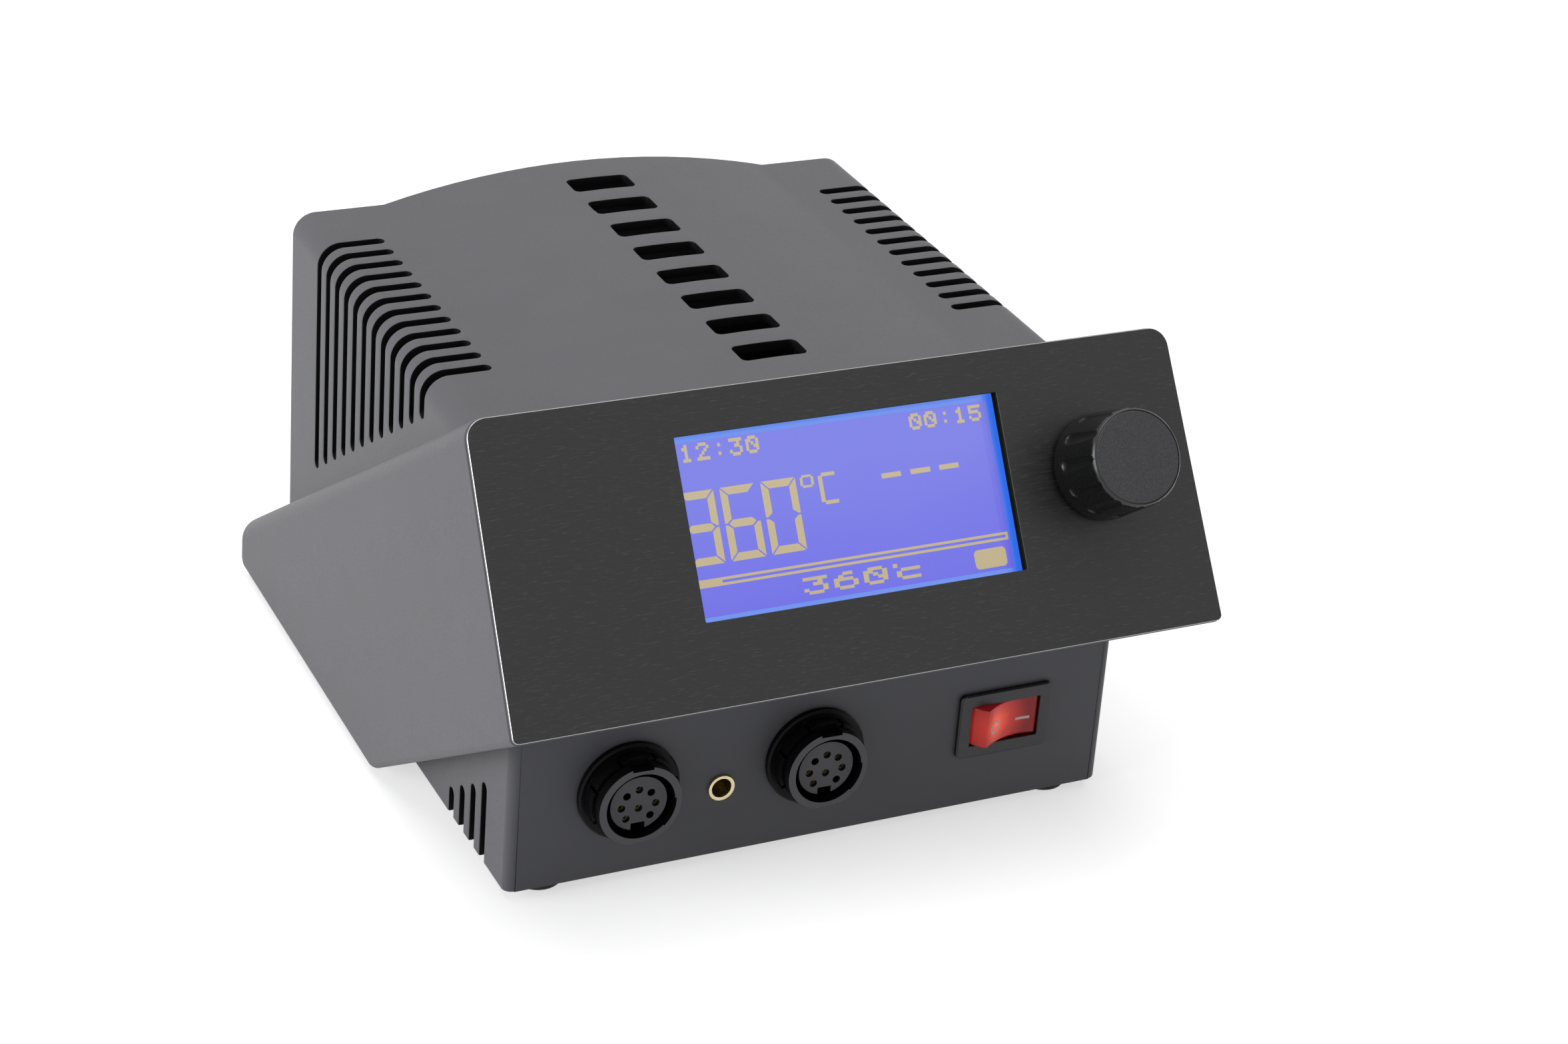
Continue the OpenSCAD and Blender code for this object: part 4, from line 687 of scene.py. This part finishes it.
# All but the insert's front face take a near-black second finish: painted shade in the contact holes.
insert.data.materials.append(finish(
    "shaded hole walls", SOCKET_BLACK, rough=0.6, grain=2200, relief=0.000001, spec=0.1))
insert_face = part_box("socket_inserts")[0].y
for face in insert.data.polygons:
    on_face = face.normal.y < MOSTLY_FRONT and face.center.y < insert_face + FACE_DEPTH
    face.material_index = 0 if on_face else 1
gilt = finish("gilt brass", GILT, rough=0.28, metal=1.0, grain=4000, relief=0.000001)
dressed("socket_contacts", "socket-contacts", 0, gilt)

# ------------------------------------------------------------------ bonding socket
# The small socket between the tool sockets that takes the bench earth lead, turned
# from brass with a chamfered mouth.
BRASS = (0.66, 0.56, 0.34)
BOND_EDGE = 0.00008

dressed("bonding_socket", "bonding-socket", BOND_EDGE, finish(
    "turned brass", BRASS, rough=0.27, metal=1.0, drift=0.12, grain=3000, relief=0.000002))

# ------------------------------------------------------------------ mains switch
# A snap-in rocker switch, mounted on its side: black nylon bezel, and a translucent
# red rocker lit by a lamp behind its off end, with O and I printed white.
BEZEL_FACE_SHEEN = (0.0195, 0.0198, 0.0232)
BEZEL_SIDE_BLACK_IN_SHADE = (0.0025, 0.0025, 0.0028)
BEZEL_EDGE = 0.00018
BEZEL_FRONT = -0.6
BEZEL_DEPTH = 0.0003
PIVOT = joint_at("power_rocker")
LEAN = math.radians(12)
ROCKER_HALF = 0.00445
ROCKER_R = 0.00885
ROCKER_EDGE = 0.0004
CROWN = 0.0053
SKIRT = 0.0034
DISH = 24.0
DISH_DEEP = 0.0006
DISH_HALF = 0.0072
DISH_STEPS = 12
FINE_STEP = 0.00001
ARC_STEPS = 8
STEM_HALF = 0.0032
STEM_LOW = -0.0026
RED_PLASTIC = (0.11, 0.008, 0.007, 1)
LAMP_X = -0.0032
LAMP_OUT = 0.005
LAMP_REACH = 0.0085
LAMP_CLOUDS = 500
CLOUD_DEPTH = 0.12
END_DIMMING = 0.6
LAMP_GLOW = (
    (0.0, (0.95, 0.16, 0.04)),
    (0.2, (0.66, 0.06, 0.02)),
    (0.5, (0.36, 0.018, 0.01)),
    (1.0, (0.1, 0.002, 0.003)),
)
MARK_WHITE = (0.85, 0.62, 0.58)
MARK_DROP = 0.0005
MARK_LIFT = 0.00005
RING_AT = -0.0038
RING_R = 0.00155
RING_WIDE = 0.0005
RING_STEPS = 24
BAR_AT = 0.0019
BAR_LONG = 0.0032
BAR_HALF = 0.00032
BAR_STEPS = 8

# The bezel's front face is a lighter grey than black nylon, a painted reflection of the floor, and
# its sides keep the nylon's black as painted shade under the hood.
bezel = dressed("switch_frame", "switch-bezel", BEZEL_EDGE, finish(
    "matt nylon face with painted sheen", BEZEL_FACE_SHEEN, rough=0.5, grain=2400, relief=0.000006))
bezel.data.materials.append(finish("black nylon", BEZEL_SIDE_BLACK_IN_SHADE, rough=0.3, grain=2400, relief=0.000002))
bezel_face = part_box("switch_frame")[0].y
for face in bezel.data.polygons:
    on_face = face.normal.y < BEZEL_FRONT and face.center.y < bezel_face + BEZEL_DEPTH
    face.material_index = 0 if on_face else 1


def on_rocker(x, out, z):
    """A point of the rocker, x along it and out from its pivot before it leans."""
    return Vector((PIVOT.x + x * math.cos(LEAN) + out * math.sin(LEAN),
                   PIVOT.y + x * math.sin(LEAN) - out * math.cos(LEAN), PIVOT.z + z))


def dished(x):
    """How far the rocker's face stands out from its pivot at x."""
    return CROWN - DISH_DEEP + (DISH + DISH_DEEP / DISH_HALF ** 2) * x * x


dish_end = 0.0
while math.hypot(dish_end, dished(dish_end)) < ROCKER_R:
    dish_end += FINE_STEP
across = [dish_end * (k / DISH_STEPS - 1) for k in range(2 * DISH_STEPS + 1)]
low_turn = math.asin((CROWN - SKIRT) / ROCKER_R)
high_turn = math.acos(dish_end / ROCKER_R)
turns = [high_turn + (low_turn - high_turn) * k / ARC_STEPS for k in range(1, ARC_STEPS + 1)]
arc = [(ROCKER_R * math.cos(turn), ROCKER_R * math.sin(turn)) for turn in turns]
stem = [(STEM_HALF, CROWN - SKIRT), (STEM_HALF, STEM_LOW)]
half = arc + stem
outline = [(x, dished(x)) for x in across] + half + [(-x, out) for x, out in reversed(half)]
shape = bmesh.new()
lower_side = shape.faces.new([shape.verts.new(on_rocker(x, out, -ROCKER_HALF)) for x, out in outline])
raised = bmesh.ops.extrude_face_region(shape, geom=[lower_side])["geom"]
bmesh.ops.translate(shape, verts=[v for v in raised if isinstance(v, bmesh.types.BMVert)],
                    vec=Vector((0, 0, 2 * ROCKER_HALF)))
bmesh.ops.recalc_face_normals(shape, faces=shape.faces)
rounded_over(shape, ROCKER_EDGE, angle=35, segments=4)
rocker = shaded(shape, "rocker")

red, tree, shader = new_finish("lit red plastic")
shader.inputs["Base Color"].default_value = RED_PLASTIC
shader.inputs["Roughness"].default_value = 0.22
shader.inputs["Specular IOR Level"].default_value = 0.3
shader.inputs["Emission Strength"].default_value = 1
place = tree.nodes.new("ShaderNodeTexCoord")
away = tree.nodes.new("ShaderNodeVectorMath")
away.operation = "DISTANCE"
away.inputs[1].default_value = on_rocker(LAMP_X, LAMP_OUT, 0)
tree.links.new(place.outputs["Object"], away.inputs[0])
reach = ranged(tree, away.outputs["Value"], (0, LAMP_REACH), (0, 1))
cloud = clouded(tree, place.outputs["Object"], LAMP_CLOUDS)
both = worked_out(tree, "MULTIPLY_ADD", cloud, CLOUD_DEPTH, reach)
facing = tree.nodes.new("ShaderNodeSeparateXYZ")
tree.links.new(place.outputs["Normal"], facing.inputs["Vector"])
on_end = worked_out(tree, "MULTIPLY", facing.outputs["Z"], facing.outputs["Z"])
dimmed = worked_out(tree, "MULTIPLY_ADD", on_end, END_DIMMING, both)
tree.links.new(graded(tree, dimmed, LAMP_GLOW), shader.inputs["Emission Color"])
rocker.data.materials.append(red)
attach(rocker, "rocker")
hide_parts("switch_rocker")

marks = []
for k in range(RING_STEPS):
    start = math.tau * k / RING_STEPS
    end = math.tau * (k + 1) / RING_STEPS
    marks.append([(RING_AT + r * math.cos(turn), r * math.sin(turn) - MARK_DROP)
                  for r, turn in ((RING_R - RING_WIDE, start), (RING_R - RING_WIDE, end),
                                  (RING_R, end), (RING_R, start))])
for k in range(BAR_STEPS):
    marks.append([(BAR_AT + BAR_LONG * (k + i) / BAR_STEPS, z - MARK_DROP)
                  for i, z in ((0, -BAR_HALF), (1, -BAR_HALF), (1, BAR_HALF), (0, BAR_HALF))])
ink = flat("rocker-marks", marks, lambda x, z: on_rocker(x, dished(x) + MARK_LIFT, z))
for face in ink.data.polygons:
    if face.normal.y > 0:
        face.flip()
ink.data.materials.append(finish(
    "white marking ink", MARK_WHITE, rough=0.5, grain=3000, relief=0.000003))
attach(ink, "rocker")

# ------------------------------------------------------------------ feet
# Four round moulded feet of black rubber, under the tray's corners. A zinc-plated
# screw deep in its hollow holds each.
RUBBER = (0.012, 0.012, 0.0125)
ZINC = (0.55, 0.56, 0.58)
FOOT_EDGE = 0.0003
SCREW_EDGE = 0.0001

dressed("rubber_feet", "rubber-feet", FOOT_EDGE, finish(
    "black rubber", RUBBER, rough=0.75, grain=1600, relief=0.00002))
zinc = finish("zinc-plated steel", ZINC, rough=0.3, metal=1.0, grain=2500, relief=0.000003)
dressed("foot_screws", "foot-screws", SCREW_EDGE, zinc)

# ------------------------------------------------------------------ housing screws
# Cross-head machine screws that hold the cover, the hood and the rear panel.
# Those outside are blackened, those inside are zinc-plated.
BLACKED = (0.09, 0.09, 0.095)

blacked = finish("blackened steel", BLACKED, rough=0.38, metal=1.0, drift=0.12, grain=2500,
                 relief=0.000003)
dressed("cover_screws", "cover-screws", SCREW_EDGE, blacked)
dressed("rear_screws", "rear-screws", SCREW_EDGE, blacked)
dressed("hood_screws", "hood-screws", 0, zinc)

# ------------------------------------------------------------------ mains inlet and fuse
# The mains inlet on the back with its three plated pins, and the little drawer below
# it that slides out with the fuse. All of it is black moulded plastic.
INLET_BLACK = (0.014, 0.014, 0.0145)
NICKEL = (0.62, 0.6, 0.56)
FUSE_PALE = (0.6, 0.64, 0.66)
INLET_EDGE = 0.0003
DRAWER_EDGE = 0.0002
FUSE_EDGE = 0.0001

moulded = finish("black moulded plastic", INLET_BLACK, rough=0.38, grain=2200, relief=0.000006)
dressed("mains_inlet", "mains-inlet", INLET_EDGE, moulded)
dressed("inlet_pins", "inlet-pins", INLET_EDGE, finish(
    "nickel-plated brass", NICKEL, rough=0.22, metal=1.0, grain=3000, relief=0.000001))
dressed("inlet_screws", "inlet-screws", SCREW_EDGE, zinc)
dressed("fuse_drawer", "fuse-drawer", DRAWER_EDGE, moulded, body="fuse_tray")
fuse_look = finish("fuse glass and caps", FUSE_PALE, rough=0.15, metal=0.4, drift=0.25, grain=1200,
                   relief=0.000001)
dressed("fuse", "fuse", FUSE_EDGE, fuse_look, body="fuse_tray")

# ------------------------------------------------------------------ display works
# Behind the panel the cell sits in a bent steel frame on a green circuit board with
# two black driver chips, held by four plated screws.
BOARD_GREEN = (0.02, 0.11, 0.045)
CHIP_BLACK = (0.018, 0.018, 0.019)
TINNED = (0.5, 0.51, 0.52)
CHIP_EDGE = 0.0002

solder_mask = finish("green solder mask", BOARD_GREEN, rough=0.35, drift=0.3, grain=2600,
                     relief=0.000006)
chip_moulding = finish("black chip moulding", CHIP_BLACK, rough=0.55, grain=3000, relief=0.00001)
dressed("display_frame", "display-frame", 0, finish(
    "bright tinned steel", TINNED, rough=0.33, metal=1.0, drift=0.15, grain=900, relief=0.000002))
dressed("display_board", "display-board", 0, solder_mask)
dressed("display_chips", "display-chips", CHIP_EDGE, chip_moulding)
dressed("display_screws", "display-screws", 0, zinc)

# ------------------------------------------------------------------ encoder works
# The rotary encoder behind the knob: a moulded body, a plated nut on the panel, the
# push rod and the turning shaft of drawn steel.
DRAWN = (0.58, 0.58, 0.59)
NUT_EDGE = 0.00012
ROD_EDGE = 0.0001
SHAFT_EDGE = 0.00012

drawn = finish("drawn steel", DRAWN, rough=0.26, metal=1.0, drift=0.08, grain=2800, relief=0.000002)
dressed("encoder_body", "encoder-body", CHIP_EDGE, chip_moulding)
dressed("encoder_nut", "encoder-nut", NUT_EDGE, zinc)
dressed("encoder_plunger", "encoder-plunger", ROD_EDGE, drawn, body="push_rod")
dressed("encoder_shaft", "encoder-shaft", SHAFT_EDGE, drawn, body="knob")

# ------------------------------------------------------------------ backs of the front fittings
# Zinc-plated nuts that hold the three sockets from behind the tray's front, and the
# brass blades of the switch, punched from sheet.
BLADE_EDGE = 0.00008

dressed("socket_nuts", "socket-nuts", NUT_EDGE, zinc)
dressed("bonding_nut", "bonding-nut", NUT_EDGE, zinc)
dressed("switch_terminals", "switch-terminals", BLADE_EDGE, gilt)

# ------------------------------------------------------------------ transformer
# The mains transformer: stacked core sheets in a steel strap, a pale bobbin, a coil
# of lacquered copper wire, and two sleeved leads to the board.
CORE_GREY = (0.12, 0.115, 0.11)
BOBBIN_CREAM = (0.6, 0.56, 0.45)
COPPER = (0.42, 0.19, 0.07)
LEAD_RED = (0.42, 0.03, 0.025)
CORE_EDGE = 0.0003
COIL_EDGE = 0.0004
CORE_SHEETS = (1, 45, 1)
COIL_TURNS = (1, 1, 40)

dressed("transformer_core", "transformer-core", CORE_EDGE, finish(
    "stacked core sheets", CORE_GREY, rough=0.5, metal=0.7, drift=0.4, grain=60, relief=0.00004,
    stretch=CORE_SHEETS))
dressed("transformer_strap", "transformer-strap", CORE_EDGE, zinc)
dressed("transformer_screws", "transformer-screws", 0, zinc)
dressed("transformer_bobbin", "transformer-bobbin", CORE_EDGE, finish(
    "cream bobbin plastic", BOBBIN_CREAM, rough=0.5, grain=1500, relief=0.000006))
dressed("transformer_coil", "transformer-coil", COIL_EDGE, finish(
    "lacquered copper wire", COPPER, rough=0.3, metal=0.8, drift=0.35, grain=60, relief=0.00006,
    stretch=COIL_TURNS))
dressed("transformer_leads", "transformer-leads", 0, finish(
    "red lead sleeving", LEAD_RED, rough=0.42, grain=1800, relief=0.000006))

# ------------------------------------------------------------------ main board
# The power board on brass pillars: a black heat sink with the two power triacs, blue
# sleeved capacitors, green terminal blocks, and the ribbon up to the display.
SINK_BLACK = (0.02, 0.02, 0.022)
SLEEVE_BLUE = (0.03, 0.075, 0.2)
BLOCK_GREEN = (0.05, 0.24, 0.09)
RIBBON_GREY = (0.3, 0.31, 0.33)
SINK_EDGE = 0.0002
SLEEVE_EDGE = 0.0005
BLOCK_EDGE = 0.0002
RIBBON_CORES = (12, 0.1, 0.1)

dressed("main_board", "main-board", 0, solder_mask)
dressed("board_pillars", "board-pillars", 0, gilt)
dressed("board_screws", "board-screws", 0, zinc)
dressed("heat_sink", "heat-sink", SINK_EDGE, finish(
    "black anodised sink", SINK_BLACK, rough=0.4, metal=0.3, drift=0.15, grain=1400, relief=0.000005,
    stretch=(1, 1, 0.1)))
dressed("power_triacs", "power-triacs", CHIP_EDGE, chip_moulding)
dressed("capacitors", "capacitors", SLEEVE_EDGE, finish(
    "blue capacitor sleeve", SLEEVE_BLUE, rough=0.32, drift=0.15, grain=1200, relief=0.000004))
dressed("terminal_blocks", "terminal-blocks", BLOCK_EDGE, finish(
    "green block plastic", BLOCK_GREEN, rough=0.42, grain=1600, relief=0.000005))
dressed("ribbon_headers", "ribbon-headers", CHIP_EDGE, chip_moulding)
dressed("ribbon_cable", "ribbon-cable", 0, finish(
    "grey ribbon", RIBBON_GREY, rough=0.5, drift=0.3, grain=90, relief=0.00012, stretch=RIBBON_CORES))

# ------------------------------------------------------------------ earth stud
# The turned steel stud that takes the earth wires on the tray's floor, and its nut,
# both zinc-plated.
dressed("earth_stud", "earth-stud", SCREW_EDGE, zinc)
dressed("earth_nut", "earth-nut", NUT_EDGE, zinc)
